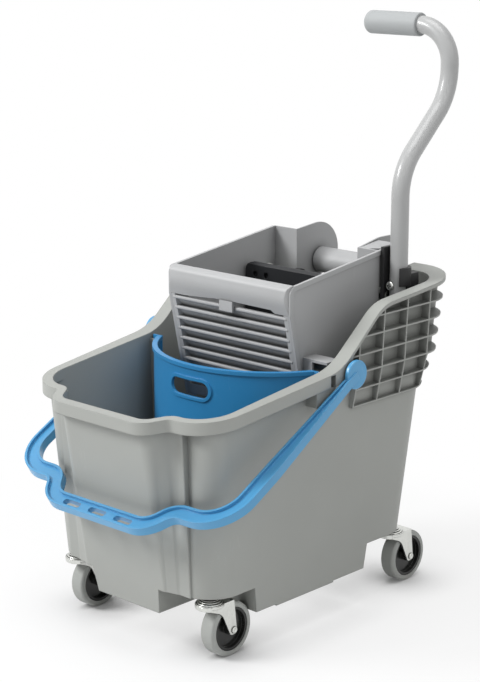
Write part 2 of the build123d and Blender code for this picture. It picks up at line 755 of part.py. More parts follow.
def bail_plan(trim=0.0):
    """The bail lying level, pivot at the origin, forward along -Y; trim narrows it on both edges."""
    half = BAIL_WIDTH / 2 - trim
    reach = BAIL_REACH - BAIL_WIDTH / 2
    notch = reach - BAIL_NOSE_DEPTH
    lobe = BAIL_HALF_WIDTH - BAIL_WIDTH / 2
    corner = BAIL_NOSE_HALF + BAIL_NOSE_DEPTH * 0.65
    slant = sqrt(BAIL_NOSE_DEPTH**2 + (corner - BAIL_NOSE_HALF) ** 2)
    shift = half * (1 - (corner - BAIL_NOSE_HALF) / slant) / (BAIL_NOSE_DEPTH / slant)
    arm_in = DISC_INSIDE + trim
    arm_out = DISC_INSIDE + BAIL_ARM_END - trim
    outer = [
        (BAIL_NOSE_HALF + shift, -reach - half),
        (corner + shift, -notch - half),
        (lobe + half, -notch - half),
        (lobe + half, -notch + 2 * BAIL_LOBE_ROUND),
        (arm_out, 0.0),
    ]
    inner = [
        (arm_in, 0.0),
        (lobe - half, -notch + 2 * BAIL_LOBE_ROUND),
        (lobe - half, -notch + half),
        (corner - shift, -notch + half),
        (BAIL_NOSE_HALF - shift, -reach + half),
    ]
    outer_radii = [
        BAIL_NOSE_ROUND + half,
        BAIL_NOTCH_ROUND - half,
        BAIL_LOBE_ROUND + half,
        TAPER_ROUND,
        0.0,
    ]
    inner_radii = [
        0.0,
        TAPER_ROUND,
        BAIL_LOBE_ROUND - half,
        BAIL_NOTCH_ROUND + half,
        BAIL_NOSE_ROUND - half,
    ]
    points = outer + inner + [(-x, y) for x, y in reversed(inner)]
    points += [(-x, y) for x, y in reversed(outer)]
    radii = outer_radii + inner_radii
    return outline(points, radii + list(reversed(radii)))


def make_bail():
    half = BAIL_HEIGHT / 2
    bail = extrude(Pos(0, 0, -half) * bail_plan(), amount=BAIL_HEIGHT)
    groove = extrude(Pos(0, 0, half - BAIL_GROOVE) * bail_plan(BAIL_FLANGE), amount=BAIL_HEIGHT)
    bail -= groove & block(-FAR, FAR, -FAR, -DISC_RADIUS, -FAR, FAR)
    for index in range(BAIL_SLOTS):
        x = (index - (BAIL_SLOTS - 1) / 2) * BAIL_SLOT_PITCH
        slot = SlotOverall(BAIL_SLOT_LENGTH, BAIL_SLOT_WIDTH)
        place = Pos(x, -BAIL_REACH + BAIL_WIDTH / 2, -BAIL_HEIGHT)
        bail -= extrude(place * slot, amount=2 * BAIL_HEIGHT)
    for side in (-1, 1):
        ends = sorted((side * DISC_INSIDE, side * (DISC_INSIDE + DISC)))
        disc = bar_x(DISC_RADIUS, *ends, 0.0, 0.0)
        bail += fillet(disc.edges().filter_by(GeomType.CIRCLE), DISC / 4)
        ends = sorted((side * (RIM_SIDE - PIVOT_PIN_DEPTH), side * DISC_INSIDE))
        bail += bar_x(PIVOT_PIN_RADIUS, *ends, 0.0, 0.0)
    return Pos(0, PIVOT_Y, PIVOT_Z) * Rot(BAIL_HANG, 0, 0) * bail


# Divider

DIVIDER_FOOT = FLOOR_TOP + SEAT_GAP
END_X = DIVIDER_RADIUS * sin(radians(DIVIDER_SWEEP))
END_Y = DIVIDER_CENTRE_Y - DIVIDER_RADIUS * cos(radians(DIVIDER_SWEEP))
GUIDE_FRONT = END_Y - DIVIDER_WALL / 2 - FLANGE_PLAY - GUIDE_RIB
GUIDE_REAR = END_Y + DIVIDER_WALL / 2 + FLANGE_PLAY
GUIDE_EDGE = END_X + DIVIDER_WALL + CUT


def arc_wall(radius_in, radius_out, z0, z1):
    """An upright curved wall between two radii, over the divider's sweep."""
    ring = Circle(radius_out) - Circle(radius_in)
    reach = 2 * radius_out
    angle = radians(DIVIDER_SWEEP)
    wedge = make_face(
        Polyline(
            (0, 0),
            (reach * sin(angle), -reach * cos(angle)),
            (0, -2 * reach),
            (-reach * sin(angle), -reach * cos(angle)),
            close=True,
        )
    )
    return extrude(Pos(0, DIVIDER_CENTRE_Y, z0) * (ring & wedge), amount=z1 - z0)


def make_divider():
    inside = DIVIDER_RADIUS - DIVIDER_WALL / 2
    outside = DIVIDER_RADIUS + DIVIDER_WALL / 2
    panel = arc_wall(inside, outside, DIVIDER_FOOT, DIVIDER_TOP)
    bead_half = DIVIDER_BEAD / 2
    bead_foot = DIVIDER_TOP - DIVIDER_BEAD_HEIGHT
    panel += arc_wall(DIVIDER_RADIUS - bead_half, DIVIDER_RADIUS + bead_half, bead_foot, DIVIDER_TOP)
    slot_z = DIVIDER_TOP - HAND_SLOT_DROP
    front = Plane.XZ.offset(-DIVIDER_CENTRE_Y) * Pos(0, slot_z)
    frame_slot = SlotOverall(HAND_SLOT_LENGTH + 2 * HAND_SLOT_LIP, HAND_SLOT_HEIGHT + 2 * HAND_SLOT_LIP)
    lip = arc_wall(inside, outside + HAND_SLOT_PROUD, DIVIDER_FOOT, DIVIDER_TOP)
    panel += lip & extrude(front * frame_slot, amount=FAR)
    panel -= extrude(front * SlotOverall(HAND_SLOT_LENGTH, HAND_SLOT_HEIGHT), amount=FAR)
    for side in (-1, 1):
        low = side_x(DIVIDER_FOOT) - WALL - FLANGE_WALL_GAP
        high = side_x(DIVIDER_TOP) - WALL - FLANGE_WALL_GAP
        root = END_X - DIVIDER_WALL
        flange = [(root, DIVIDER_FOOT), (low, DIVIDER_FOOT), (high, DIVIDER_TOP), (root, DIVIDER_TOP)]
        y0 = END_Y - DIVIDER_WALL / 2
        panel += front_prism([(side * x, z) for x, z in flange], y0, y0 + DIVIDER_WALL)
    return panel


# Wringer

def hopper_front(z):
    """The hopper's front plane, which leans forward towards the top."""
    return -HOPPER_FRONT + tan(radians(GRILLE_LEAN)) * (HOPPER_LIP_FOOT - z)


def hopper_top(y):
    """The hopper's top edge, which climbs towards the back."""
    return HOPPER_FRONT_TOP + HOPPER_RISE * (y + HOPPER_FRONT)


def hopper_side(x0, x1, rear):
    points = [
        (hopper_front(HOPPER_FOOT), HOPPER_FOOT),
        (-HOPPER_FRONT, HOPPER_LIP_FOOT),
        (-HOPPER_FRONT, hopper_top(-HOPPER_FRONT)),
        (rear, hopper_top(rear)),
        (rear, HOPPER_FOOT),
    ]
    return side_prism(points, x0, x1, [0.0, 0.0, HOPPER_ROUND, 0.0, 0.0])


def hopper_bead(x0, x1, rear):
    start = -HOPPER_FRONT + BEAD
    points = [
        (start, hopper_top(start) - BEAD),
        (rear, hopper_top(rear) - BEAD),
        (rear, hopper_top(rear)),
        (start, hopper_top(start)),
    ]
    return side_prism(points, x0, x1)


def hopper_edge(x0, x1):
    """The bead that runs down the front edge of a side wall."""
    foot = hopper_front(HOPPER_FOOT)
    front = -HOPPER_FRONT
    points = [
        (foot, HOPPER_FOOT),
        (front, HOPPER_LIP_FOOT),
        (front, hopper_top(front)),
        (front + BEAD + HOPPER_ROUND, hopper_top(front + BEAD + HOPPER_ROUND)),
        (front + BEAD + HOPPER_ROUND, hopper_top(front + BEAD + HOPPER_ROUND) - BEAD),
        (front + BEAD, hopper_top(front + BEAD) - BEAD),
        (front + BEAD, HOPPER_LIP_FOOT),
        (foot + BEAD, HOPPER_FOOT),
    ]
    return side_prism(points, x0, x1, [0.0, 0.0, HOPPER_ROUND, 0.0, 0.0, HOPPER_ROUND / 2, 0.0, 0.0])


def ear(x0, x1, jog, rear):
    points = [
        (jog, EAR_FOOT),
        (rear_y(EAR_FOOT) - WALL - BEAM_WALL - HOPPER_WALL, EAR_FOOT),
        (rear_y(NOTCH_FOOT) - WALL - BEAM_WALL - HOPPER_WALL, NOTCH_FOOT + SEAT_GAP),
        (rear, NOTCH_FOOT + SEAT_GAP),
        (rear, EAR_TOP),
        (jog + EAR_ROUND, EAR_TOP),
        (jog, hopper_top(jog)),
    ]
    return side_prism(points, x0, x1, [0.0, 0.0, 0.0, EAR_HEEL_ROUND, EAR_ROUND, EAR_NECK_ROUND, 0.0])


def make_wringer_body():
    inner = HOPPER_HALF - HOPPER_WALL
    ear_inner = EAR_HALF - HOPPER_WALL
    body = hopper_side(-HOPPER_HALF, -inner, LEFT_JOG)
    body += hopper_side(inner, HOPPER_HALF, RIGHT_WALL_END)
    body += hopper_bead(-HOPPER_HALF - BEAD_PROUD, -inner, LEFT_JOG)
    body += hopper_bead(inner, HOPPER_HALF + BEAD_PROUD, RIGHT_WALL_END)
    # Lip across the front: a shell that bulges forward and rolls back at its top
    front = -HOPPER_FRONT
    lip = [
        (front, HOPPER_LIP_FOOT),
        (front - LIP_BULGE, (HOPPER_LIP_FOOT + HOPPER_FRONT_TOP) / 2),
        (front - LIP_BULGE / 2, HOPPER_FRONT_TOP),
        (front + 2 * LIP_WALL, HOPPER_FRONT_TOP + LIP_WALL / 2),
        (front + 2 * LIP_WALL, HOPPER_FRONT_TOP - LIP_WALL),
        (front + LIP_WALL, HOPPER_FRONT_TOP - LIP_WALL),
        (front + LIP_WALL, HOPPER_LIP_FOOT),
    ]
    lip_radii = [0.0, LIP_BULGE_ROUND, LIP_ROLL_ROUND, 0.0, 0.0, LIP_INNER_ROUND, 0.0]
    body += side_prism(lip, -HOPPER_HALF, HOPPER_HALF, lip_radii)
    # Its ends are rounded in plan, and two slots run along its foot on both sides of the tab
    nose = front - LIP_BULGE
    corners = block(-FAR, FAR, nose, nose + LIP_CORNER_ROUND, HOPPER_LIP_FOOT - CUT, FAR + EAR_TOP)
    plan = [
        (HOPPER_HALF, nose),
        (HOPPER_HALF, LEFT_JOG),
        (-HOPPER_HALF, LEFT_JOG),
        (-HOPPER_HALF, nose),
    ]
    plan_radii = [LIP_CORNER_ROUND, 0.0, 0.0, LIP_CORNER_ROUND]
    body -= corners - extrude(outline(plan, plan_radii), amount=FAR + EAR_TOP)
    slot_top = HOPPER_LIP_FOOT + LIP_SLOT_HEIGHT
    left_slot = [
        (-LIP_SLOT_LEFT, HOPPER_LIP_FOOT - CUT),
        (-TAB_WIDTH / 2, HOPPER_LIP_FOOT - CUT),
        (-TAB_WIDTH / 2, slot_top),
    ]
    right_slot = [
        (TAB_WIDTH / 2, HOPPER_LIP_FOOT - CUT),
        (LIP_SLOT_RIGHT, HOPPER_LIP_FOOT - CUT),
        (LIP_SLOT_RIGHT - LIP_SLOT_TAPER, slot_top - CUT),
        (TAB_WIDTH / 2, slot_top),
    ]
    for slot in (left_slot, right_slot):
        body -= front_prism(slot, nose - CUT, front + LIP_WALL + CUT)
    tab = [
        (front - LIP_WALL, HOPPER_LIP_FOOT - TAB_DROP),
        (front - SEAT_GAP, HOPPER_LIP_FOOT - TAB_DROP),
        (front - SEAT_GAP, HOPPER_LIP_FOOT + LIP_SLOT_HEIGHT),
        (front - LIP_WALL, HOPPER_LIP_FOOT + LIP_SLOT_HEIGHT),
    ]
    body += side_prism(tab, -TAB_WIDTH / 2, TAB_WIDTH / 2, [LIP_INNER_ROUND / 2, 0.0, 0.0, 0.0])
    for side in (-1, 1):
        body += hopper_edge(*sorted((side * (HOPPER_HALF - CUT), side * (HOPPER_HALF + BEAD_PROUD))))
    # Steps in both walls and the ears behind them
    step_top = hopper_top(LEFT_JOG)
    left_inner = LEFT_EAR_HALF - HOPPER_WALL
    body += block(-HOPPER_HALF, -left_inner, LEFT_JOG, LEFT_JOG + HOPPER_WALL, EAR_FOOT, step_top)
    body += block(ear_inner, HOPPER_HALF, RIGHT_JOG, RIGHT_JOG + HOPPER_WALL, EAR_FOOT, hopper_top(RIGHT_JOG))
    body += ear(-LEFT_EAR_HALF, -left_inner, LEFT_JOG, LEFT_EAR_REAR)
    body += ear(ear_inner, EAR_HALF, RIGHT_JOG, RIGHT_EAR_REAR)
    for side, half in ((-1, LEFT_EAR_HALF), (1, EAR_HALF)):
        socket = half - HOPPER_WALL - BEAM_END_GAP - BEAM_SOCKET
        body += bar_x(BEAM_RADIUS - BEAM_WALL - RUN, *sorted((side * half, side * socket)), BEAM_Y, BEAM_Z)
    body += make_shoulder(ear_inner)
    # Rails for the press, ledges for the sieve and hooks that rest on the tub
    for side in (-1, 1):
        rear = LEFT_JOG if side < 0 else RIGHT_WALL_END
        ends = sorted((side * (inner - RAIL_WIDTH), side * inner))
        rail_front = hopper_front(RAIL_TOP) + SLAT_DEPTH + GRILLE_STILE
        body += block(*ends, rail_front, rear, RAIL_TOP - RAIL, RAIL_TOP)
        body += block(*ends, hopper_front(HOPPER_FOOT), rear, HOPPER_FOOT, HOPPER_FOOT + SIEVE)
        body += make_hook(side)
    gap = SHAFT_RADIUS + SHAFT_WALL_GAP
    right_wall = (inner - CUT, HOPPER_HALF + CUT)
    body -= block(*right_wall, SHAFT_Y - gap, FAR, SHAFT_Z - gap, SHAFT_Z + gap)
    bush_radius = SHAFT_RADIUS + RUN + BUSH_WALL + RUN
    body -= bar_x(bush_radius, -HOPPER_HALF - CUT, EAR_HALF + CUT, SHAFT_Y, SHAFT_Z)
    return body


def make_shoulder(ear_inner):
    """The roof behind the right step, over the end of the shaft, with an opening beside the lever."""
    rear = RIGHT_JOG + SHOULDER_LENGTH
    roof = [
        (RIGHT_JOG, hopper_top(RIGHT_JOG) - HOPPER_WALL),
        (rear, hopper_top(rear) - HOPPER_WALL),
        (rear, hopper_top(rear)),
        (RIGHT_JOG, hopper_top(RIGHT_JOG)),
    ]
    front = RIGHT_JOG + HOPPER_WALL
    opening = [
        (HOPPER_HALF - SHOULDER_SLOT_WIDTH, front),
        (HOPPER_HALF + CUT, front),
        (HOPPER_HALF + CUT, front + SHOULDER_SLOT_LENGTH),
    ]
    shoulder = side_prism(roof, ear_inner, HOPPER_HALF)
    return shoulder - extrude(outline(opening, [0.0] * 3), amount=FAR + EAR_TOP)


def make_hook(side):
    """A lug on the hopper's flank, open underneath, that rests on the tub's ledge."""
    reach = HOPPER_HALF + HOOK_REACH
    foot = HOOK_TOP - HOOK_HEIGHT
    front = hook_front(side)
    rear = front + HOOK_LENGTH
    ends = sorted((side * (HOPPER_HALF - CUT), side * reach))
    web_ends = sorted((side * (HOPPER_HALF - CUT), side * (HOPPER_HALF + HOOK_WEB)))
    hook = block(*ends, front, rear, HOOK_TOP - HOOK_WALL, HOOK_TOP)
    hook += block(*ends, rear - HOOK_WALL, rear, foot, HOOK_TOP)
    return hook + block(*web_ends, front, front + HOOK_WALL, foot, HOOK_TOP)


def grille_opening(z, half):
    """The gap between the stiles at height z; their inner faces slant, so the gap narrows inwards."""
    front = hopper_front(z) - CUT
    back = hopper_front(z) + SLAT_DEPTH + CUT
    wide = half - GRILLE_STILE
    narrow = wide - GRILLE_STILE_SLANT
    points = [(wide, front), (narrow, back), (-narrow, back), (-wide, front)]
    return Pos(0, 0, z) * outline(points, [0.0] * 4)


def make_grille():
    """Louvres between two stiles, in the plane of the hopper's front."""
    half = HOPPER_HALF - HOPPER_WALL - SEAT_GAP / 2
    top = HOPPER_LIP_FOOT - SEAT_GAP
    foot = HOPPER_FOOT + SIEVE + SEAT_GAP
    leaf = [
        (hopper_front(foot), foot),
        (hopper_front(top), top),
        (hopper_front(top) + SLAT_DEPTH, top),
        (hopper_front(foot) + SLAT_DEPTH, foot),
    ]
    opening = loft([grille_opening(foot - CUT, half), grille_opening(top + CUT, half)], ruled=True)
    grille = side_prism(leaf, -half, half) - opening
    # Each slat has a rounded nose and falls steeply inwards, so that water runs back into the hopper
    slat_radii = [SLAT_NOSE, 0.0, 0.0, 0.0, SLAT_RUN / 3, SLAT_NOSE]
    for index in range(SLATS):
        z = top - SLAT_TOP_GAP - SLAT - index * SLAT_PITCH
        y = hopper_front(z + SLAT)
        slat = [
            (y, z),
            (y + SLAT_HEEL, z),
            (y + SLAT_DEPTH, z + SLAT - SLAT_FALL - SLAT_BACK),
            (y + SLAT_DEPTH, z + SLAT - SLAT_FALL),
            (y + SLAT_RUN, z + SLAT),
            (y, z + SLAT),
        ]
        grille += side_prism(slat, GRILLE_STILE / 2 - half, half - GRILLE_STILE / 2, slat_radii)
    kick_top = foot + SLAT_PITCH
    kick = [
        (hopper_front(foot), foot),
        (hopper_front(kick_top), kick_top),
        (hopper_front(kick_top) + GRILLE_KICK, kick_top),
        (hopper_front(foot) + GRILLE_KICK, foot),
    ]
    return grille + side_prism(kick, GRILLE_STILE / 2 - half, half - GRILLE_STILE / 2)


def make_sieve():
    """Slotted bottom of the hopper, laid on the ledges of its walls."""
    half = HOPPER_HALF - HOPPER_WALL - SEAT_GAP / 2
    front = hopper_front(HOPPER_FOOT) + SLAT_DEPTH + SEAT_GAP
    z0 = HOPPER_FOOT + SIEVE
    sieve = block(-half, half, front, RIGHT_JOG, z0, z0 + SIEVE)
    rows = int((RIGHT_JOG - front) // SIEVE_SLOT_PITCH_Y)
    slots = []
    for column in (-1, 0, 1):
        for row in range(rows):
            y = front + (row + 0.7) * SIEVE_SLOT_PITCH_Y
            place = Pos(column * SIEVE_SLOT_PITCH_X, y, z0 - CUT)
            slot = SlotOverall(SIEVE_SLOT_LENGTH, SIEVE_SLOT_WIDTH)
            slots.append(extrude(place * slot, amount=SIEVE + 2 * CUT))
    return sieve - slots


def make_beam():
    left = LEFT_EAR_HALF - HOPPER_WALL - BEAM_END_GAP
    right = EAR_HALF - HOPPER_WALL - BEAM_END_GAP
    beam = bar_x(BEAM_RADIUS, -left, right, BEAM_Y, BEAM_Z)
    return beam - bar_x(BEAM_RADIUS - BEAM_WALL, -FAR, FAR, BEAM_Y, BEAM_Z)


def make_bush(wall_in, wall_out):
    """A flanged bush for the shaft; its flange lies against the inner face of the wall."""
    side = 1 if wall_out > wall_in else -1
    barrel = SHAFT_RADIUS + RUN + BUSH_WALL
    bush = bar_x(barrel, *sorted((wall_in, wall_out)), SHAFT_Y, SHAFT_Z)
    flange = sorted((wall_in - side * BUSH_FLANGE_THICK, wall_in))
    bush += bar_x(barrel + BUSH_FLANGE, *flange, SHAFT_Y, SHAFT_Z)
    return bush - bar_x(SHAFT_RADIUS + RUN, -FAR, FAR, SHAFT_Y, SHAFT_Z)


# Press

START = radians(FINGER_START)
END = radians(LEVER_SWING - FINGER_START)
PRESS_TRAVEL = FINGER_LENGTH * (sin(START) + sin(END))
PIN_Y = SHAFT_Y + FINGER_LENGTH * sin(START)
PIN_Z = SHAFT_Z - FINGER_LENGTH * cos(START)
PLATE_BACK = PLATE_Y + PLATE
PLATE_FOOT = RAIL_TOP + SEAT_GAP
YOKE_X = FINGER_X + FINGER / 2 + YOKE_GAP


def lead_of_pin():
    """How far the crank pin runs ahead of an even slide, at the middle of the swing."""
    steps = 200
    leads = []
    for step in range(steps + 1):
        swing = radians(LEVER_SWING) * step / steps
        pin = FINGER_LENGTH * (sin(START) + sin(swing - START))
        leads.append(pin - PRESS_TRAVEL * step / steps)
    return min(leads), max(leads)


def press_screw_places():
    rows = (PRESS_SCREW_Z, PRESS_SCREW_Z - 2 * PRESS_SCREW_X)
    return [(sx * PRESS_SCREW_X, z) for sx in (-1, 1) for z in rows]


def make_plate():
    radii = [PLATE_ROUND / 3, PLATE_ROUND / 3, PLATE_ROUND, PLATE_ROUND]
    corners = [
        (-PLATE_HALF, PLATE_FOOT),
        (PLATE_HALF, PLATE_FOOT),
        (PLATE_HALF, PLATE_TOP),
        (-PLATE_HALF, PLATE_TOP),
    ]
    plate = front_prism(corners, PLATE_Y, PLATE_BACK, radii)
    bevel = [
        (PLATE_Y, PLATE_TOP - PLATE_BEVEL),
        (PLATE_Y + PLATE_BEVEL, PLATE_TOP),
        (PLATE_Y + PLATE_BEVEL, PLATE_TOP + CUT),
        (PLATE_Y - CUT, PLATE_TOP + CUT),
        (PLATE_Y - CUT, PLATE_TOP - PLATE_BEVEL),
    ]
    plate -= side_prism(bevel, -PLATE_HALF, PLATE_HALF)
    for side in (-1, 1):
        for index in (0, 1):
            x = side * (PLATE_HALF - PLATE_HOLE_INSET - index * PLATE_HOLE_PITCH)
            z = PLATE_TOP - PLATE_HOLE_DROP
            plate -= bar_y(PLATE_HOLE_RADIUS, PLATE_Y - CUT, PLATE_Y + PLATE_HOLE_DEPTH, x, z)
    for x, z in press_screw_places():
        plate -= bar_y(PRESS_SCREW_RADIUS + RUN, PLATE_Y - CUT, PLATE_BACK + CUT, x, z)
        plate -= bar_y(PRESS_SCREW_HEAD + RUN, PLATE_Y - CUT, PLATE_Y + PRESS_SCREW_HEAD_HEIGHT, x, z)
    return plate


def make_press_screws():
    screws = []
    for x, z in press_screw_places():
        screw = bar_y(PRESS_SCREW_RADIUS, PLATE_Y, PLATE_BACK + CARRIAGE, x, z)
        screws.append(screw + bar_y(PRESS_SCREW_HEAD, PLATE_Y, PLATE_Y + PRESS_SCREW_HEAD_HEIGHT, x, z))
    return screws


def make_carriage():
    back = PLATE_BACK + CARRIAGE
    carriage = block(-CARRIAGE_HALF, CARRIAGE_HALF, PLATE_BACK, back, PLATE_FOOT, CARRIAGE_TOP)
    half = EAR_HALF - HOPPER_WALL - CARRIAGE
    top_foot = CARRIAGE_TOP - CARRIAGE_TOP_PLATE
    carriage += block(-half, half, PLATE_BACK, PLATE_BACK + CARRIAGE_LENGTH, top_foot, CARRIAGE_TOP)
    least, most = lead_of_pin()
    slot_half = CRANK_PIN_RADIUS + YOKE_PLAY + (most - least) / 2
    slot_y = PIN_Y - (most + least) / 2
    foot = SHAFT_Z - FINGER_LENGTH - CRANK_PIN_RADIUS - 2 * YOKE_PLAY
    head = SHAFT_Z - FINGER_LENGTH * cos(max(START, END)) + CRANK_PIN_RADIUS + 2 * YOKE_PLAY
    for side in (-1, 1):
        ends = sorted((side * YOKE_X, side * (YOKE_X + YOKE)))
        rear = slot_y + slot_half + YOKE_EDGE
        yoke = block(*ends, back, rear, foot - YOKE_EDGE, head + YOKE_EDGE)
        wide = sorted((side * (YOKE_X - CUT), side * (YOKE_X + YOKE + CUT)))
        carriage += yoke - block(*wide, slot_y - slot_half, slot_y + slot_half, foot, head)
    for x, z in press_screw_places():
        carriage -= bar_y(PRESS_SCREW_RADIUS + RUN, PLATE_BACK - CUT, back + CUT, x, z)
    return carriage


SADDLE_FOOT = TUBE_FOOT + SADDLE_RISE
SADDLE_TOP = SADDLE_FOOT + SADDLE_HEIGHT
BLADE_IN = HOPPER_HALF + BEAD_PROUD + BLADE_GAP
BLADE_OUT = BLADE_IN + BLADE


def make_shaft():
    return bar_x(SHAFT_RADIUS, -HOPPER_HALF, BLADE_OUT, SHAFT_Y, SHAFT_Z)


def make_fingers():
    """Two cranks on the shaft, each with a pin that runs in a yoke of the press."""
    fingers = []
    for side in (-1, 1):
        ends = sorted((side * (FINGER_X - FINGER / 2), side * (FINGER_X + FINGER / 2)))
        wide = make_hull(
            (
                Pos(SHAFT_Y, SHAFT_Z) * Circle(FINGER_HUB_RADIUS)
                + Pos(PIN_Y, PIN_Z) * Circle(FINGER_TIP_RADIUS)
            ).edges()
        )
        finger = extrude(Plane.YZ.offset(ends[0]) * wide, amount=FINGER)
        pin = sorted((side * FINGER_X, side * (YOKE_X + YOKE + YOKE_GAP)))
        finger += bar_x(CRANK_PIN_RADIUS, *pin, PIN_Y, PIN_Z)
        fingers.append(finger - bar_x(SHAFT_RADIUS + RUN, -FAR, FAR, SHAFT_Y, SHAFT_Z))
    return fingers


# Lever

def lever_path():
    """Up from the saddle, back in a swan neck, up again and across to the grip."""
    reach = SWAN_ROUND * tan(radians(SWAN_ANGLE) / 2)
    low = SWAN_START + reach
    high = low + SWAN_OFFSET / tan(radians(SWAN_ANGLE))
    back = TUBE_Y + SWAN_OFFSET
    points = [
        (TUBE_X, TUBE_Y, TUBE_FOOT),
        (TUBE_X, TUBE_Y, low),
        (TUBE_X, back, high),
        (TUBE_X, back, GRIP_Z),
        (GRIP_ROOT - GRIP_LENGTH + GRIP_WALL_END, back, GRIP_Z),
    ]
    return FilletPolyline(*points, radius=[SWAN_ROUND, SWAN_ROUND, GRIP_BEND])


GRIP_ROOT = TUBE_X - GRIP_BEND


def lever_screw_heights():
    return [TUBE_FOOT + LEVER_SCREW_RISE - row * LEVER_SCREW_PITCH for row in (0, 1)]


def make_tube():
    path = lever_path()
    start = Plane.XY.offset(TUBE_FOOT) * Pos(TUBE_X, TUBE_Y)
    tube = sweep(start * Circle(TUBE_RADIUS), path=path)
    tube -= sweep(start * Circle(TUBE_RADIUS - TUBE_WALL), path=path)
    for z in lever_screw_heights():
        tube -= bar_y(LEVER_SCREW_RADIUS + RUN, TUBE_Y - FAR, TUBE_Y + FAR, TUBE_X - LEVER_SCREW_SHIFT, z)
    return tube


def make_grip():
    back = TUBE_Y + SWAN_OFFSET
    grip = bar_x(GRIP_RADIUS, GRIP_ROOT - GRIP_LENGTH, GRIP_ROOT, back, GRIP_Z)
    ends = grip.edges().filter_by(GeomType.CIRCLE).sort_by(Axis.X)
    grip = fillet(ends[0], GRIP_ROUND)
    grip = fillet(grip.edges().filter_by(GeomType.CIRCLE).sort_by(Axis.X)[-1], GRIP_WALL_END / 3)
    bore_end = GRIP_ROOT - GRIP_LENGTH + GRIP_WALL_END
    return grip - bar_x(TUBE_RADIUS + RUN, bore_end, GRIP_ROOT + CUT, back, GRIP_Z)


def make_arm():
    """Blade keyed on the shaft, with a saddle that holds the tube from behind and from its outer side."""
    arm = block(
        BLADE_IN,
        BLADE_OUT,
        SHAFT_Y - BLADE_FRONT - SHAFT_RADIUS / 5,
        SHAFT_Y + BLADE_REAR,
        min(SHAFT_Z - BLADE_DROP, SADDLE_FOOT - SADDLE_RISE),
        max(SADDLE_TOP, SHAFT_Z + BLADE_DROP) + BLADE_ABOVE_SADDLE,
    )
    shell = TUBE_RADIUS + SADDLE_WALL
    saddle = bar_z(shell, SADDLE_TOP - SADDLE_WRAP, SADDLE_TOP, TUBE_X, TUBE_Y)
    saddle += block(BLADE_IN, TUBE_X + SADDLE_WALL, TUBE_Y, TUBE_Y + shell, SADDLE_FOOT, SADDLE_TOP)
    lobe_top = SADDLE_TOP - SADDLE_LOBE_DROP
    saddle += block(
        TUBE_X,
        TUBE_X + SADDLE_LOBE_WIDTH,
        TUBE_Y,
        TUBE_Y + shell + SADDLE_LOBE,
        lobe_top - SADDLE_LOBE_HEIGHT,
        lobe_top,
    )
    mouth = TUBE_X + SADDLE_MOUTH
    saddle -= block(TUBE_X - FAR, mouth, TUBE_Y - FAR, TUBE_Y, 0.0, FAR + SADDLE_TOP)
    arm += saddle
    arm -= bar_z(TUBE_RADIUS + RUN, 0.0, FAR + SADDLE_TOP, TUBE_X, TUBE_Y)
    for z in lever_screw_heights():
        arm -= bar_y(LEVER_SCREW_RADIUS + RUN, TUBE_Y, TUBE_Y + FAR, TUBE_X - LEVER_SCREW_SHIFT, z)
    return arm - bar_x(SHAFT_RADIUS + RUN, -FAR, FAR, SHAFT_Y, SHAFT_Z)


def make_lever_screws():
    screws = []
    for z in lever_screw_heights():
        x = TUBE_X - LEVER_SCREW_SHIFT
        front = TUBE_Y - TUBE_RADIUS
        screw = bar_y(LEVER_SCREW_RADIUS, front - CUT, TUBE_Y + TUBE_RADIUS + SADDLE_WALL, x, z)
        head = bar_y(LEVER_SCREW_HEAD_RADIUS, front - LEVER_SCREW_HEAD, front, x, z)
        outer = head.edges().filter_by(GeomType.CIRCLE).sort_by(Axis.Y)[0]
        screws.append(screw + fillet(outer, LEVER_SCREW_HEAD * 0.6))
    return screws


# All pieces by name

def make_pieces():
    inner = HOPPER_HALF - HOPPER_WALL
    ear_inner = EAR_HALF - HOPPER_WALL
    pieces = {
        "bucket_tub": make_tub(),
        "bail_handle": make_bail(),
        "divider_panel": make_divider(),
        "wringer_body": make_wringer_body(),
        "wringer_grille": make_grille(),
        "wringer_sieve": make_sieve(),
        "hanger_beam": make_beam(),
        "shaft_bush_left": make_bush(-inner, -HOPPER_HALF),
        "shaft_bush_right": make_bush(ear_inner, EAR_HALF),
        "press_plate": make_plate(),
        "press_carriage": make_carriage(),
        "press_screws": Compound(children=make_press_screws()),
        "torque_shaft": make_shaft(),
        "crank_fingers": Compound(children=make_fingers()),
        "lever_arm": make_arm(),
        "lever_tube": make_tube(),
        "lever_grip": make_grip(),
        "lever_screws": Compound(children=make_lever_screws()),
    }
    castor = {
        "race": make_race(),
        "stud": make_stud(),
        "fork": make_fork(),
        "axle": make_axle(),
        "hub": make_hub(),
        "tyre": make_tyre(),
    }
    for place, (x, y) in CASTOR_PLACES.items():
        for name, piece in castor.items():
            pieces[f"castor_{place}_{name}"] = Pos(x, y, 0) * piece
    return pieces


def main():
    pieces = make_pieces()
    front = pieces["bail_handle"].bounding_box().min.Y
    rear = pieces["lever_grip"].bounding_box().max.Y
    shift = -(front + rear) / 2
    os.makedirs("parts", exist_ok=True)
    for name, piece in pieces.items():
        export_step(Pos(0, shift, -GROUND) * piece, f"parts/{name}.step")
    print("moved along Y by", round(shift, 4), "and down by", GROUND)
    print("bail axis", round(PIVOT_Y + shift, 3), PIVOT_Z - GROUND)
    print("lever axis", round(SHAFT_Y + shift, 3), SHAFT_Z - GROUND, "press travel", round(PRESS_TRAVEL, 4))
    for place, (x, y) in CASTOR_PLACES.items():
        print("castor", place, x, round(y + shift, 3), "axle", round(y + shift + TRAIL, 3), WHEEL_RADIUS)


main()
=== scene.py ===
# %% [markdown]
# # A single mop bucket trolley
# A grey moulded tub on four swivel castors, with a blue carrying bail, a blue divider and a lever
# wringer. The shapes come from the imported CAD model. Blender's job is the surface: moulded plastic,
# zinc plate, paint and rubber, and small hardware that is nicer as a mesh than as a solid.

# %% Load the frame
import math

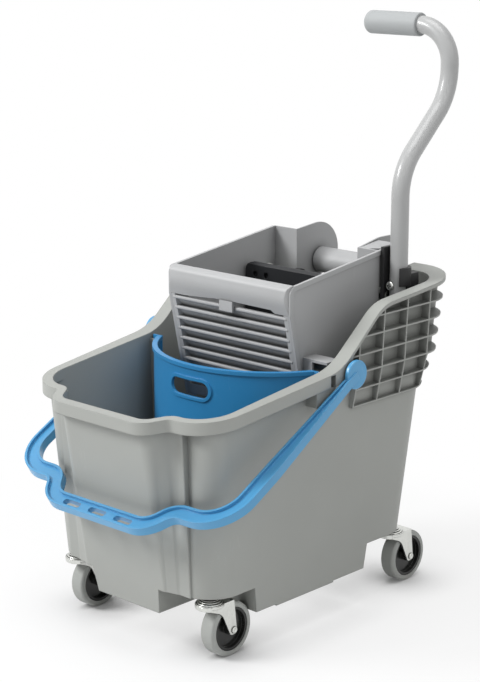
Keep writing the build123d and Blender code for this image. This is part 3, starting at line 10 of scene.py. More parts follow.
import bpy
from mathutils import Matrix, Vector


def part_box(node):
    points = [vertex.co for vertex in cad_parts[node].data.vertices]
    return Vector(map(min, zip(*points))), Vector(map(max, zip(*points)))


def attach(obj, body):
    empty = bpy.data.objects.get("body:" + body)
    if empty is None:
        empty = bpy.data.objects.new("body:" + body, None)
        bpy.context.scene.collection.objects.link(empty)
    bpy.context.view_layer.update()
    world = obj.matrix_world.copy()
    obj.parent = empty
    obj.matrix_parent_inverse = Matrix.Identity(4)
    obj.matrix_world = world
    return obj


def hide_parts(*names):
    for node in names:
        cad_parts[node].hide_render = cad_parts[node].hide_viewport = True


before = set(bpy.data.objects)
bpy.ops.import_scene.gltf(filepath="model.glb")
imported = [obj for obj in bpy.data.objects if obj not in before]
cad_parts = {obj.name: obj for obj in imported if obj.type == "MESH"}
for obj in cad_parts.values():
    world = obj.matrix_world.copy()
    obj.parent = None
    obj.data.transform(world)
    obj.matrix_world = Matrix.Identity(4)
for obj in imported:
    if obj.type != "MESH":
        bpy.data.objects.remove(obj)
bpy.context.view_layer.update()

# %% [markdown]
# ## A short way to write nodes
# Shader trees and Geometry Nodes trees are both built from nodes and links. One helper makes a node,
# sets its options, and either links or sets each input. A value that is itself a socket becomes a
# link, so a tree reads from left to right like a sentence.


# %% The node helper
def put(tree, kind, inputs=None, **options):
    made = tree.nodes.new(kind)
    for name, value in options.items():
        setattr(made, name, value)
    for name, value in (inputs or {}).items():
        if isinstance(value, bpy.types.NodeSocket):
            tree.links.new(value, made.inputs[name])
        else:
            made.inputs[name].default_value = value
    return made


def shader_group(title, takes, gives):
    group = bpy.data.node_groups.new(title, "ShaderNodeTree")
    for name, kind, value in takes:
        group.interface.new_socket(name, in_out="INPUT", socket_type=kind).default_value = value
    for name, kind in gives:
        group.interface.new_socket(name, in_out="OUTPUT", socket_type=kind)
    return group, put(group, "NodeGroupInput").outputs, put(group, "NodeGroupOutput").inputs


FLOAT, COLOUR, VECTOR = "NodeSocketFloat", "NodeSocketColor", "NodeSocketVector"
print("helpers ready")

# %% [markdown]
# ## Moulded skin
# An injection-moulded part has a fine spark-eroded grain from the steel of its mould, its colour
# drifts slightly from thick to thin walls, and no edge is truly sharp. The group makes all three:
# a broad noise for the drift, a fine noise for the grain, and a Bevel node that rounds the normals
# near an edge, so the CAD mesh stays untouched.

# %% Moulded skin group
skin, take, give = shader_group(
    "moulded_skin",
    [("Colour", COLOUR, (0.4, 0.4, 0.4, 1)), ("Drift", FLOAT, 0.05), ("Roughness", FLOAT, 0.5),
     ("Grain Scale", FLOAT, 900.0), ("Grain", FLOAT, 0.1), ("Edge Radius", FLOAT, 0.0012)],
    [("Colour", COLOUR), ("Roughness", FLOAT), ("Normal", VECTOR)])
where = put(skin, "ShaderNodeTexCoord").outputs["Object"]
drift = put(skin, "ShaderNodeTexNoise", {"Vector": where, "Scale": 7.0, "Detail": 3.0})
low = put(skin, "ShaderNodeMath", {0: 1.0, 1: take["Drift"]}, operation="SUBTRACT")
high = put(skin, "ShaderNodeMath", {0: 1.0, 1: take["Drift"]}, operation="ADD")
value = put(skin, "ShaderNodeMapRange", {"Value": drift.outputs["Fac"], "From Min": 0.3, "From Max": 0.7,
                                         "To Min": low.outputs[0], "To Max": high.outputs[0]})
shade = put(skin, "ShaderNodeHueSaturation", {"Color": take["Colour"], "Value": value.outputs[0]})
skin.links.new(shade.outputs["Color"], give["Colour"])
grain = put(skin, "ShaderNodeTexNoise", {"Vector": where, "Scale": take["Grain Scale"], "Detail": 2.0})
spread = put(skin, "ShaderNodeMapRange", {"Value": grain.outputs["Fac"], "To Min": -0.06, "To Max": 0.06})
rough = put(skin, "ShaderNodeMath", {0: take["Roughness"], 1: spread.outputs[0]}, operation="ADD")
skin.links.new(rough.outputs[0], give["Roughness"])
soft_edge = put(skin, "ShaderNodeBevel", {"Radius": take["Edge Radius"]}, samples=4)
bump = put(skin, "ShaderNodeBump", {"Strength": take["Grain"], "Distance": 0.0005,
                                    "Height": grain.outputs["Fac"], "Normal": soft_edge.outputs["Normal"]})
skin.links.new(bump.outputs["Normal"], give["Normal"])
print("group:", skin.name, len(skin.nodes), "nodes")

# %% [markdown]
# ## Hairline scuffs
# A bucket is stacked, knocked and wiped. The marks are short hairlines in patches. A contour line of
# a stretched noise is a thin curved line, and a second noise decides where such lines are allowed.

# %% Scuff group
scuff, take, give = shader_group(
    "hairline_scuffs", [("Stretch", VECTOR, (40.0, 40.0, 9.0)), ("Amount", FLOAT, 0.3)], [("Mask", FLOAT)])
where = put(scuff, "ShaderNodeTexCoord").outputs["Object"]
pulled = put(scuff, "ShaderNodeVectorMath", {0: where, 1: take["Stretch"]}, operation="MULTIPLY")
lines = put(scuff, "ShaderNodeTexNoise", {"Vector": pulled.outputs[0], "Scale": 1.0, "Detail": 4.0})
away = put(scuff, "ShaderNodeMath", {0: lines.outputs["Fac"], 1: 0.5}, operation="SUBTRACT")
near = put(scuff, "ShaderNodeMath", {0: away.outputs[0]}, operation="ABSOLUTE")
thin = put(scuff, "ShaderNodeMapRange", {"Value": near.outputs[0], "From Min": 0.0, "From Max": 0.006,
                                         "To Min": 1.0, "To Max": 0.0})
patches = put(scuff, "ShaderNodeTexNoise", {"Vector": where, "Scale": 14.0, "Detail": 2.0})
allowed = put(scuff, "ShaderNodeMapRange", {"Value": patches.outputs["Fac"], "From Min": 0.52,
                                            "From Max": 0.68})
both = put(scuff, "ShaderNodeMath", {0: thin.outputs[0], 1: allowed.outputs[0]}, operation="MULTIPLY")
mask = put(scuff, "ShaderNodeMath", {0: both.outputs[0], 1: take["Amount"]}, operation="MULTIPLY")
scuff.links.new(mask.outputs[0], give["Mask"])
print("group:", scuff.name, len(scuff.nodes), "nodes")

# %% [markdown]
# ## Dust near the floor
# Splashes and dust gather low down. The height above the floor is the Z of Object coordinates, so a
# Map Range turns it into a mask, broken up by noise. The same group serves the tub and the castors.

# %% Dust group
dust, take, give = shader_group(
    "low_dust", [("Reach", FLOAT, 0.15), ("Amount", FLOAT, 0.3)], [("Mask", FLOAT)])
where = put(dust, "ShaderNodeTexCoord").outputs["Object"]
height = put(dust, "ShaderNodeSeparateXYZ", {0: where}).outputs["Z"]
fade = put(dust, "ShaderNodeMapRange", {"Value": height, "From Min": 0.0, "From Max": take["Reach"],
                                        "To Min": 1.0, "To Max": 0.0})
cloud = put(dust, "ShaderNodeTexNoise", {"Vector": where, "Scale": 45.0, "Detail": 5.0})
broken = put(dust, "ShaderNodeMapRange", {"Value": cloud.outputs["Fac"], "From Min": 0.35, "From Max": 0.7})
both = put(dust, "ShaderNodeMath", {0: fade.outputs[0], 1: broken.outputs[0]}, operation="MULTIPLY")
mask = put(dust, "ShaderNodeMath", {0: both.outputs[0], 1: take["Amount"]}, operation="MULTIPLY")
dust.links.new(mask.outputs[0], give["Mask"])
print("group:", dust.name, len(dust.nodes), "nodes")

# %% [markdown]
# ## Painted shade in recesses
# Cells between ribs, inner corners and the gaps of a grille get painted shade: their colour is made
# darker where little light reaches. The Ambient Occlusion node tells how much open space is over a
# point within a short reach: where little is open, the mask is strong.

# %% Painted shade group
# Painted shade: a mask that grows where the Ambient Occlusion node finds little open space.
recess_shade, take, give = shader_group(
    "recess_painted_shade", [("Reach", FLOAT, 0.03), ("Amount", FLOAT, 0.5)], [("Mask", FLOAT)])
openness = put(recess_shade, "ShaderNodeAmbientOcclusion", {"Distance": take["Reach"]}, samples=8).outputs["AO"]
closed = put(recess_shade, "ShaderNodeMapRange", {"Value": openness, "From Min": 0.3, "From Max": 0.9,
                                           "To Min": 1.0, "To Max": 0.0})
mask = put(recess_shade, "ShaderNodeMath", {0: closed.outputs[0], 1: take["Amount"]}, operation="MULTIPLY")
recess_shade.links.new(mask.outputs[0], give["Mask"])
print("group:", recess_shade.name, len(recess_shade.nodes), "nodes")

# %% [markdown]
# ## One recipe for the moulded pieces
# Every plastic piece is the same stack with its own numbers: skin, then scuffs a little lighter, then
# dust low down and painted shade in recesses. The recipe is a function, so a finish is one line, and the
# constants that do not change over the surface, such as the specular level, are set on the shader's
# own sockets.


# %% Moulded finish recipe
DUST_COLOUR = (0.33, 0.31, 0.28, 1)
# Share of the colour left in the darkest painted shade of recesses.
RECESS_SHADE_TONE = 0.25


def moulded(title, colour, roughness, drift=0.05, grain=0.12, grain_scale=900.0, edge=0.0012,
            scuffs=0.15, dusty=0.0, reach=0.15, recess_shade_amount=0.0, depth=0.03, specular=0.45, coat=0.0):
    """A plastic finish. Reach is the height of the dust, depth the reach of the painted shade in recesses."""
    finish = bpy.data.materials.new(title)
    finish.use_nodes = True
    tree = finish.node_tree
    shader = tree.nodes["Principled BSDF"]
    base = put(tree, "ShaderNodeGroup", node_tree=skin)
    for name, value in {"Colour": (*colour, 1), "Drift": drift, "Roughness": roughness, "Grain": grain,
                        "Grain Scale": grain_scale, "Edge Radius": edge}.items():
        base.inputs[name].default_value = value
    marks = put(tree, "ShaderNodeGroup", node_tree=scuff)
    marks.inputs["Amount"].default_value = scuffs
    lighter = tuple(min(1.0, c * 0.55 + 0.32) for c in colour)
    worn = put(tree, "ShaderNodeMix", {"Factor": marks.outputs["Mask"], 6: base.outputs["Colour"],
                                       7: (*lighter, 1)}, data_type="RGBA")
    top = worn.outputs[2]
    if dusty:
        grit = put(tree, "ShaderNodeGroup", node_tree=dust)
        grit.inputs["Amount"].default_value = dusty
        grit.inputs["Reach"].default_value = reach
        top = put(tree, "ShaderNodeMix", {"Factor": grit.outputs["Mask"], 6: top,
                                          7: DUST_COLOUR}, data_type="RGBA").outputs[2]
    # Painted shade: the colour is darkened in recesses by the Ambient Occlusion mask.
    if recess_shade_amount:
        corners = put(tree, "ShaderNodeGroup", node_tree=recess_shade)
        corners.inputs["Amount"].default_value = recess_shade_amount
        corners.inputs["Reach"].default_value = depth
        darker = tuple(c * RECESS_SHADE_TONE for c in colour)
        top = put(tree, "ShaderNodeMix", {"Factor": corners.outputs["Mask"], 6: top, 7: (*darker, 1)},
                  data_type="RGBA").outputs[2]
    tree.links.new(top, shader.inputs["Base Color"])
    tree.links.new(base.outputs["Roughness"], shader.inputs["Roughness"])
    tree.links.new(base.outputs["Normal"], shader.inputs["Normal"])
    shader.inputs["Specular IOR Level"].default_value = specular
    shader.inputs["Coat Weight"].default_value = coat
    return finish


# The recess amounts in these finishes are painted shade, strongest in the grille's gaps.
finishes = {
    "tub_grey": moulded("tub_grey", (0.36, 0.37, 0.35), 0.47, drift=0.03, edge=0.0025, dusty=0.12,
                        recess_shade_amount=0.65),
    "wringer_grey": moulded("wringer_grey", (0.42, 0.425, 0.43), 0.46, drift=0.03, edge=0.0006, recess_shade_amount=0.75),
    "grille_grey": moulded("grille_grey", (0.46, 0.465, 0.47), 0.44, drift=0.03, edge=0.0006, recess_shade_amount=1.0,
                           depth=0.06),
    "bail_blue": moulded("bail_blue", (0.072, 0.32, 0.585), 0.34, drift=0.05, scuffs=0.2, specular=0.6,
                         coat=0.2),
    "divider_blue": moulded("divider_blue", (0.03, 0.245, 0.53), 0.36, drift=0.05),
    "bush_white": moulded("bush_white", (0.72, 0.72, 0.69), 0.38, drift=0.03, scuffs=0.05),
    "press_black": moulded("press_black", (0.012, 0.013, 0.015), 0.42, drift=0.15, scuffs=0.08),
    "arm_black": moulded("arm_black", (0.014, 0.014, 0.015), 0.48, drift=0.15, grain=0.35,
                         grain_scale=520.0, scuffs=0.06),
    "hub_black": moulded("hub_black", (0.008, 0.009, 0.008), 0.2, drift=0.15, grain=0.04, scuffs=0.05,
                         dusty=0.05, reach=0.08),
}
print("moulded finishes:", sorted(finishes))

# %% [markdown]
# ## Paint, grip and tyre
# The lever is steel tube with a smooth powder coat, the grip a ribless soft sleeve and the tyres grey
# thermoplastic rubber. They are the same recipe with other grain: paint has a broad orange peel and a
# thin clear coat, rubber a coarse dull grain and more dust.

# %% Paint, grip and tyre
finishes["lever_paint"] = moulded("lever_paint", (0.405, 0.41, 0.41), 0.34, drift=0.02, grain=0.06,
                                  grain_scale=260.0, edge=0.0006, scuffs=0.12, coat=0.25)
finishes["grip_grey"] = moulded("grip_grey", (0.38, 0.395, 0.40), 0.58, drift=0.03, grain=0.3,
                                grain_scale=620.0, scuffs=0.05, specular=0.3)
finishes["tyre_grey"] = moulded("tyre_grey", (0.40, 0.412, 0.395), 0.62, drift=0.06, grain=0.35,
                                grain_scale=480.0, scuffs=0.1, dusty=0.35, specular=0.3, reach=0.05)
print("soft and painted finishes added:", len(finishes))

# %% [markdown]
# ## Zinc plate
# Forks, races, studs and screws are pressed steel with bright zinc. Plating shows faint crystals, a
# fine brushed direction and dull spots. A Voronoi pattern gives the crystals, a stretched noise the
# brushing; both go into roughness and colour, and Metallic stays a plain 1. Narrow grooves and inner
# corners get painted shade: the Ambient Occlusion node finds those, since little light reaches them.

# %% Zinc group and finish
plate, take, give = shader_group(
    "plated_steel", [("Colour", COLOUR, (0.7, 0.7, 0.68, 1)), ("Roughness", FLOAT, 0.28)],
    [("Colour", COLOUR), ("Roughness", FLOAT), ("Normal", VECTOR)])
where = put(plate, "ShaderNodeTexCoord").outputs["Object"]
crystals = put(plate, "ShaderNodeTexVoronoi", {"Vector": where, "Scale": 260.0})
tone = put(plate, "ShaderNodeSeparateColor", {"Color": crystals.outputs["Color"]})
value = put(plate, "ShaderNodeMapRange", {"Value": tone.outputs["Red"], "To Min": 0.96, "To Max": 1.03})
shade = put(plate, "ShaderNodeHueSaturation", {"Color": take["Colour"], "Value": value.outputs[0]})
# Painted shade: the colour turns near-black where the Ambient Occlusion node finds little open space.
reached = put(plate, "ShaderNodeAmbientOcclusion", {"Distance": 0.006}, samples=8).outputs["AO"]
groove_open = put(plate, "ShaderNodeMapRange", {"Value": reached, "From Min": 0.4, "From Max": 0.9})
groove_shaded = put(plate, "ShaderNodeMix", {"Factor": groove_open.outputs[0], 6: (0.035, 0.036, 0.034, 1),
                                     7: shade.outputs["Color"]}, data_type="RGBA")
plate.links.new(groove_shaded.outputs[2], give["Colour"])
pulled = put(plate, "ShaderNodeVectorMath", {0: where, 1: (900.0, 900.0, 120.0)}, operation="MULTIPLY")
brush = put(plate, "ShaderNodeTexNoise", {"Vector": pulled.outputs[0], "Scale": 1.0, "Detail": 3.0})
spread = put(plate, "ShaderNodeMapRange", {"Value": brush.outputs["Fac"], "To Min": -0.03, "To Max": 0.04})
rough = put(plate, "ShaderNodeMath", {0: take["Roughness"], 1: spread.outputs[0]}, operation="ADD")
plate.links.new(rough.outputs[0], give["Roughness"])
soft_edge = put(plate, "ShaderNodeBevel", {"Radius": 0.0008}, samples=4)
bump = put(plate, "ShaderNodeBump", {"Strength": 0.02, "Distance": 0.0003, "Height": brush.outputs["Fac"],
                                     "Normal": soft_edge.outputs["Normal"]})
plate.links.new(bump.outputs["Normal"], give["Normal"])

zinc = bpy.data.materials.new("zinc")
zinc.use_nodes = True
shader = zinc.node_tree.nodes["Principled BSDF"]
shader.inputs["Metallic"].default_value = 1.0
metal = put(zinc.node_tree, "ShaderNodeGroup", node_tree=plate)
metal.inputs["Colour"].default_value = (0.70, 0.71, 0.68, 1)
grit = put(zinc.node_tree, "ShaderNodeGroup", node_tree=dust)
grit.inputs["Reach"].default_value = 0.11
grit.inputs["Amount"].default_value = 0.3
dulled = put(zinc.node_tree, "ShaderNodeMix", {"Factor": grit.outputs["Mask"], 6: metal.outputs["Colour"],
                                               7: (0.25, 0.24, 0.22, 1)}, data_type="RGBA")
zinc.node_tree.links.new(dulled.outputs[2], shader.inputs["Base Color"])
zinc.node_tree.links.new(metal.outputs["Roughness"], shader.inputs["Roughness"])
zinc.node_tree.links.new(metal.outputs["Normal"], shader.inputs["Normal"])
finishes["zinc"] = zinc
print("finishes:", len(finishes))

# %% [markdown]
# ## Dress the CAD nodes
# Each node takes the finish of its kind. The names say which: what ends in _tyre is rubber, what ends
# in _fork is zinc, and the rest is listed.

# %% Assign finishes
NODE_FINISH = {
    "bucket_tub": "tub_grey", "bail_handle": "bail_blue", "divider_panel": "divider_blue",
    "wringer_body": "wringer_grey", "wringer_grille": "grille_grey", "wringer_sieve": "wringer_grey",
    "hanger_beam": "wringer_grey", "shaft_bush_left": "bush_white", "shaft_bush_right": "bush_white",
    "press_plate": "press_black", "press_carriage": "wringer_grey", "press_screws": "zinc",
    "torque_shaft": "zinc", "crank_fingers": "arm_black", "lever_arm": "arm_black",
    "lever_tube": "lever_paint", "lever_grip": "grip_grey", "lever_screws": "zinc",
}
CASTOR_FINISH = {"race": "zinc", "stud": "zinc", "fork": "zinc", "axle": "zinc", "hub": "hub_black",
                 "tyre": "tyre_grey"}
for name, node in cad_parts.items():
    finish = finishes[NODE_FINISH.get(name) or CASTOR_FINISH[name.rsplit("_", 1)[1]]]
    node.data.materials.clear()
    node.data.materials.append(finish)
print("dressed:", len(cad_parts))

# %% [markdown]
# ## Geometry Nodes, once
# Hardware repeats, so it is made by Geometry Nodes trees. Each tree takes a mesh of points, builds one
# piece from its sizes, and puts a copy on every point. It ends in Realize Instances and Set Material.
# The result is then turned into a plain mesh, because the export reads only plain meshes.

# %% Geometry Nodes helpers
def growing_tree(title, sizes):
    tree = bpy.data.node_groups.new(title, "GeometryNodeTree")
    tree.interface.new_socket("Points", in_out="INPUT", socket_type="NodeSocketGeometry")
    for name, value in sizes.items():
        tree.interface.new_socket(name, in_out="INPUT", socket_type=FLOAT).default_value = value
    tree.interface.new_socket("Finish", in_out="INPUT", socket_type="NodeSocketMaterial")
    tree.interface.new_socket("Mesh", in_out="OUTPUT", socket_type="NodeSocketGeometry")
    return tree, put(tree, "NodeGroupInput").outputs


def plant(tree, take, piece, turn=(0, 0, 0)):
    copies = put(tree, "GeometryNodeInstanceOnPoints", {"Points": take["Points"], "Instance": piece,
                                                        "Rotation": turn})
    solid = put(tree, "GeometryNodeRealizeInstances", {"Geometry": copies.outputs[0]})
    painted = put(tree, "GeometryNodeSetMaterial", {"Geometry": solid.outputs[0], "Material": take["Finish"]})
    put(tree, "NodeGroupOutput", {"Mesh": painted.outputs[0]})


def grow(title, tree, points, sizes, finish):
    mesh = bpy.data.meshes.new(title + "_points")
    mesh.from_pydata([tuple(p) for p in points], [], [])
    seed = bpy.data.objects.new(title + "_points", mesh)
    bpy.context.collection.objects.link(seed)
    modifier = seed.modifiers.new("grow", "NODES")
    modifier.node_group = tree
    for item in tree.interface.items_tree:
        if item.in_out == "INPUT" and item.name in sizes:
            modifier[item.identifier] = sizes[item.name]
        elif item.in_out == "INPUT" and item.name == "Finish":
            modifier[item.identifier] = finish
    ready = seed.evaluated_get(bpy.context.evaluated_depsgraph_get())
    baked = bpy.data.meshes.new_from_object(ready)
    baked.name = title
    bpy.data.objects.remove(seed)
    piece = bpy.data.objects.new(title, baked)
    bpy.context.collection.objects.link(piece)
    print(title, "faces:", len(baked.polygons))
    return piece


print("tree helpers ready")

# %% [markdown]
# ## Turned pieces
# Screw heads, races, crown rings and rivets are all turned: one outline swept round an axis. A grid of
# quads is a strip of outline points by a ring of steps, so the tree bends a grid round the axis. Two
# Float Curve nodes hold the outline, one for the radius and one for the height, and the sizes stay
# inputs. The outlines run up the outside, and the ring runs clockwise, so that the faces point outwards.


# %% The turning helper
def outline_curve(tree, along, values):
    curve = put(tree, "ShaderNodeFloatCurve", {"Value": along})
    points = curve.mapping.curves[0].points
    while len(points) < len(values):
        points.new(0.5, 0.5)
    for i, value in enumerate(values):
        points[i].location = (i / (len(values) - 1), value)
        points[i].handle_type = "VECTOR"
    curve.mapping.update()
    return curve.outputs["Value"]


def turned(tree, outline, radius, height, steps=48):
    sheet = put(tree, "GeometryNodeMeshGrid", {"Size X": 1.0, "Size Y": 1.0, "Vertices X": len(outline),
                                               "Vertices Y": steps + 1})
    axes = put(tree, "ShaderNodeSeparateXYZ", {0: put(tree, "GeometryNodeInputPosition").outputs[0]})
    along = put(tree, "ShaderNodeMath", {0: axes.outputs["X"], 1: 0.5}, operation="ADD").outputs[0]
    angle = put(tree, "ShaderNodeMath", {0: axes.outputs["Y"], 1: -math.tau}, operation="MULTIPLY").outputs[0]
    out = put(tree, "ShaderNodeMath", {0: outline_curve(tree, along, [r for r, z in outline]), 1: radius},
              operation="MULTIPLY").outputs[0]
    up = put(tree, "ShaderNodeMath", {0: outline_curve(tree, along, [z for r, z in outline]), 1: height},
             operation="MULTIPLY").outputs[0]
    cosine = put(tree, "ShaderNodeMath", {0: angle}, operation="COSINE").outputs[0]
    sine = put(tree, "ShaderNodeMath", {0: angle}, operation="SINE").outputs[0]
    x = put(tree, "ShaderNodeMath", {0: out, 1: cosine}, operation="MULTIPLY").outputs[0]
    y = put(tree, "ShaderNodeMath", {0: out, 1: sine}, operation="MULTIPLY").outputs[0]
    spot = put(tree, "ShaderNodeCombineXYZ", {"X": x, "Y": y, "Z": up}).outputs[0]
    bent = put(tree, "GeometryNodeSetPosition", {"Geometry": sheet.outputs["Mesh"], "Position": spot})
    closed = put(tree, "GeometryNodeMergeByDistance", {"Geometry": bent.outputs[0], "Distance": 1e-6})
    return put(tree, "GeometryNodeSetShadeSmooth", {"Geometry": closed.outputs[0]}).outputs[0]


def rolled(radius, height, across, rise, count=7):
    """Outline points of a rolled lip, as shares of the piece's radius and height."""
    turns = [math.pi * (i / (count - 1) - 0.5) for i in range(count)]
    return [(radius + across * math.cos(t), height + rise * math.sin(t)) for t in turns]


print("turning helper ready")

# %% [markdown]
# ## Pan-head screws
# The lever tube is held by two screws and the press plate by four. A pan head is a turned low dome with
# a short straight skirt and a cross recess. The recess is cut with a Mesh Boolean, which is affordable
# because the head is built only once. Its two bars are united first, so that the cutter is one solid.


# %% Screw tree
screw, take = growing_tree("pan_head_screw", {"Radius": 0.006, "Height": 0.0034})
head_outline = [(0.0, 0.0), (1.0, 0.0), (1.0, 0.35), (0.97, 0.56), (0.88, 0.76), (0.72, 0.90), (0.5, 0.98),
                (0.25, 1.0), (0.0, 1.0)]
head = turned(screw, head_outline, take["Radius"], take["Height"], steps=32)
arm_long = put(screw, "ShaderNodeMath", {0: take["Radius"], 1: 1.15}, operation="MULTIPLY").outputs[0]
arm_wide = put(screw, "ShaderNodeMath", {0: take["Radius"], 1: 0.27}, operation="MULTIPLY").outputs[0]
recess_place = put(screw, "ShaderNodeCombineXYZ", {"Z": take["Height"]}).outputs[0]
bars = []
for long_way, short_way in ((arm_long, arm_wide), (arm_wide, arm_long)):
    size = put(screw, "ShaderNodeCombineXYZ", {"X": long_way, "Y": short_way, "Z": take["Height"]}).outputs[0]
    bar = put(screw, "GeometryNodeMeshCube", {"Size": size}).outputs["Mesh"]
    bar = put(screw, "GeometryNodeTransform", {"Geometry": bar, "Translation": recess_place}).outputs[0]
    bars.append(bar)
recess = put(screw, "GeometryNodeMeshBoolean", {"Mesh 2": bars[0]}, operation="UNION", solver="EXACT")
screw.links.new(bars[1], recess.inputs["Mesh 2"])
cut = put(screw, "GeometryNodeMeshBoolean", {"Mesh 1": head, "Mesh 2": recess.outputs["Mesh"]},
          operation="DIFFERENCE", solver="EXACT")
plant(screw, take, cut.outputs["Mesh"], turn=(math.radians(90), 0, 0))
print("tree:", screw.name, len(screw.nodes), "nodes")

# %% [markdown]
# The heads face the front, along -Y. Their places are read from the CAD groups' boxes: the outermost
# heads touch the box, so a head's radius inside the box is a screw's axis.

# %% Plant the screws
SCREW_HEADS = (("lever_screws", "lever", 1, 0.007, 0.0034), ("press_screws", "press", 2, 0.005, 0.0025))
for name, body, columns, radius, head_depth in SCREW_HEADS:
    low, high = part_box(name)
    across = [low[0] + radius, high[0] - radius][:columns]
    spots = [(x, low[1] + head_depth, z) for x in across for z in (low[2] + radius, high[2] - radius)]
    heads = grow(name + "_heads", screw, spots, {"Radius": radius, "Height": head_depth}, finishes["zinc"])
    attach(heads, body)
    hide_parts(name)

# %% [markdown]
# ## Swivel races
# Under each corner a swivel castor has a ball race: pressed cups with rolled lips, which show as
# stacked bright rings that step inwards. The outline runs up the three lips, then down the bore.

# %% Race tree
RACE_BORE = 0.36
race_outline = ([(RACE_BORE, 0.0), (0.86, 0.0)] + rolled(0.87, 0.20, 0.13, 0.18) + [(0.72, 0.42)]
                + rolled(0.74, 0.56, 0.12, 0.11) + [(0.58, 0.70)] + rolled(0.61, 0.85, 0.12, 0.13)
                + [(RACE_BORE, 1.0), (RACE_BORE, 0.0)])
race, take = growing_tree("race_rings", {"Radius": 0.0185, "Height": 0.0075})
plant(race, take, turned(race, race_outline, take["Radius"], take["Height"]))
print("tree:", race.name, len(race.nodes), "nodes,", len(race_outline), "outline points")

# %% Plant the races
PLACES = ("front_left", "front_right", "rear_left", "rear_right")
race_nodes = ["castor_" + place + "_race" for place in PLACES]
seats, race_height, race_radius = [], 0.0, 0.0
for name in race_nodes:
    low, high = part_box(name)
    seats.append(((low[0] + high[0]) / 2, (low[1] + high[1]) / 2, low[2]))
    race_height, race_radius = high[2] - low[2], (high[0] - low[0]) / 2
rings = grow("race_rings", race, seats, {"Radius": race_radius, "Height": race_height}, finishes["zinc"])
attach(rings, "trolley")
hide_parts(*race_nodes)
print("race radius and height, mm:", round(race_radius * 1000, 1), round(race_height * 1000, 1))

# %% [markdown]
# ## Crown rings
# The top of the fork has a raised rolled ring round the race, the lower half of the bearing. It turns
# with the fork, so there is one for each fork, just clear of the race.

# %% Crown ring tree
CROWN_RADIUS, CROWN_RISE, CROWN_PLAY = 0.0203, 0.0013, 0.0003
crown, take = growing_tree("crown_ring", {"Radius": CROWN_RADIUS, "Height": CROWN_RISE})
inside = (race_radius + CROWN_PLAY) / CROWN_RADIUS
half = (1 - inside) / 2
crown_outline = [(1.0, 0.0), (1.0, 0.55), (1.0 - half * 0.35, 0.9), (inside + half, 1.0),
                 (inside + half * 0.35, 0.9), (inside, 0.55), (inside, 0.0), (1.0, 0.0)]
plant(crown, take, turned(crown, crown_outline, take["Radius"], take["Height"]))
for place, seat in zip(PLACES, seats):
    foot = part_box("castor_" + place + "_fork")[1][2]
    ring = grow(place + "_crown_ring", crown, [(seat[0], seat[1], foot)], {}, finishes["zinc"])
    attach(ring, place + "_fork")

# %% [markdown]
# ## Axle rivets
# The axle ends are riveted over: a low dome with a dimple where the punch stood. The CAD axle has plain
# round ends, so a turned dome is set on each, and it moves with its fork.

# %% Rivet tree
rivet, take = growing_tree("axle_rivets", {"Radius": 0.0048, "Height": 0.0009, "Span": 0.05})
rivet_outline = [(0.0, 0.0), (1.0, 0.0), (0.97, 0.35), (0.86, 0.75), (0.70, 1.0), (0.56, 0.92),
                 (0.46, 0.45), (0.36, 0.2), (0.0, 0.15)]
dome = turned(rivet, rivet_outline, take["Radius"], take["Height"], steps=32)
half_span = put(rivet, "ShaderNodeMath", {0: take["Span"], 1: 0.5}, operation="MULTIPLY").outputs[0]
other_side = put(rivet, "ShaderNodeMath", {0: half_span, 1: -1.0}, operation="MULTIPLY").outputs[0]
pair = put(rivet, "GeometryNodeJoinGeometry")
for side, turn in ((half_span, 90), (other_side, -90)):
    spot = put(rivet, "ShaderNodeCombineXYZ", {"X": side}).outputs[0]
    end = put(rivet, "GeometryNodeTransform", {"Geometry": dome, "Translation": spot,
                                               "Rotation": (0, math.radians(turn), 0)})
    rivet.links.new(end.outputs[0], pair.inputs[0])
plant(rivet, take, pair.outputs[0])
print("tree:", rivet.name, len(rivet.nodes), "nodes")

# %% Plant the rivets
for place in PLACES:
    low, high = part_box("castor_" + place + "_axle")
    middle = [(a + b) / 2 for a, b in zip(low, high)]
    ends = grow(place + "_axle_rivets", rivet, [middle], {"Span": high[0] - low[0]}, finishes["zinc"])
    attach(ends, place + "_fork")

# %% [markdown]
# ## Floor
# A plain pale floor that turns to white far from the object, as in a product photograph. Where
# something stands close above it, the Ambient Occlusion node finds that and the floor stays a matt
# surface that keeps the contact shadow; its colour is darkened there too, more the closer the thing
# is, a painted contact shadow. Elsewhere camera, mirror and glass rays see mostly a white emission,
# so the floor sends no extra light onto the object.

# %% Floor
FLOOR_HALF, FADE_START, FADE_END = 9, 0.12, 0.72
# The third of these numbers is the floor colour in the deepest painted contact shadow.
CONTACT_REACH, OPEN_WHITE, PAINTED_SHADOW_TONE, PAPER_TONE = 0.09, 0.78, 0.3, 0.88
floor_mesh = bpy.data.meshes.new("studio_floor")
floor_corners = [(FLOOR_HALF * x, FLOOR_HALF * y, 0) for x, y in ((-1, -1), (1, -1), (1, 1), (-1, 1))]
floor_mesh.from_pydata(floor_corners, [], [(0, 1, 2, 3)])
floor = bpy.data.objects.new("studio_floor", floor_mesh)
bpy.context.collection.objects.link(floor)
paper = bpy.data.materials.new("studio_paper")
paper.use_nodes = True
tree = paper.node_tree
tree.nodes.remove(tree.nodes["Principled BSDF"])
where = put(tree, "ShaderNodeTexCoord").outputs["Object"]
reach = put(tree, "ShaderNodeVectorMath", {0: where}, operation="LENGTH").outputs["Value"]
fade = put(tree, "ShaderNodeMapRange", {"Value": reach, "From Min": FADE_START, "From Max": FADE_END},
           interpolation_type="SMOOTHSTEP")
open_sky = put(tree, "ShaderNodeAmbientOcclusion", {"Distance": CONTACT_REACH}, samples=16).outputs["AO"]
open_share = put(tree, "ShaderNodeMapRange", {"Value": open_sky, "From Min": 0.5, "From Max": 1.0,
                                              "To Max": OPEN_WHITE})
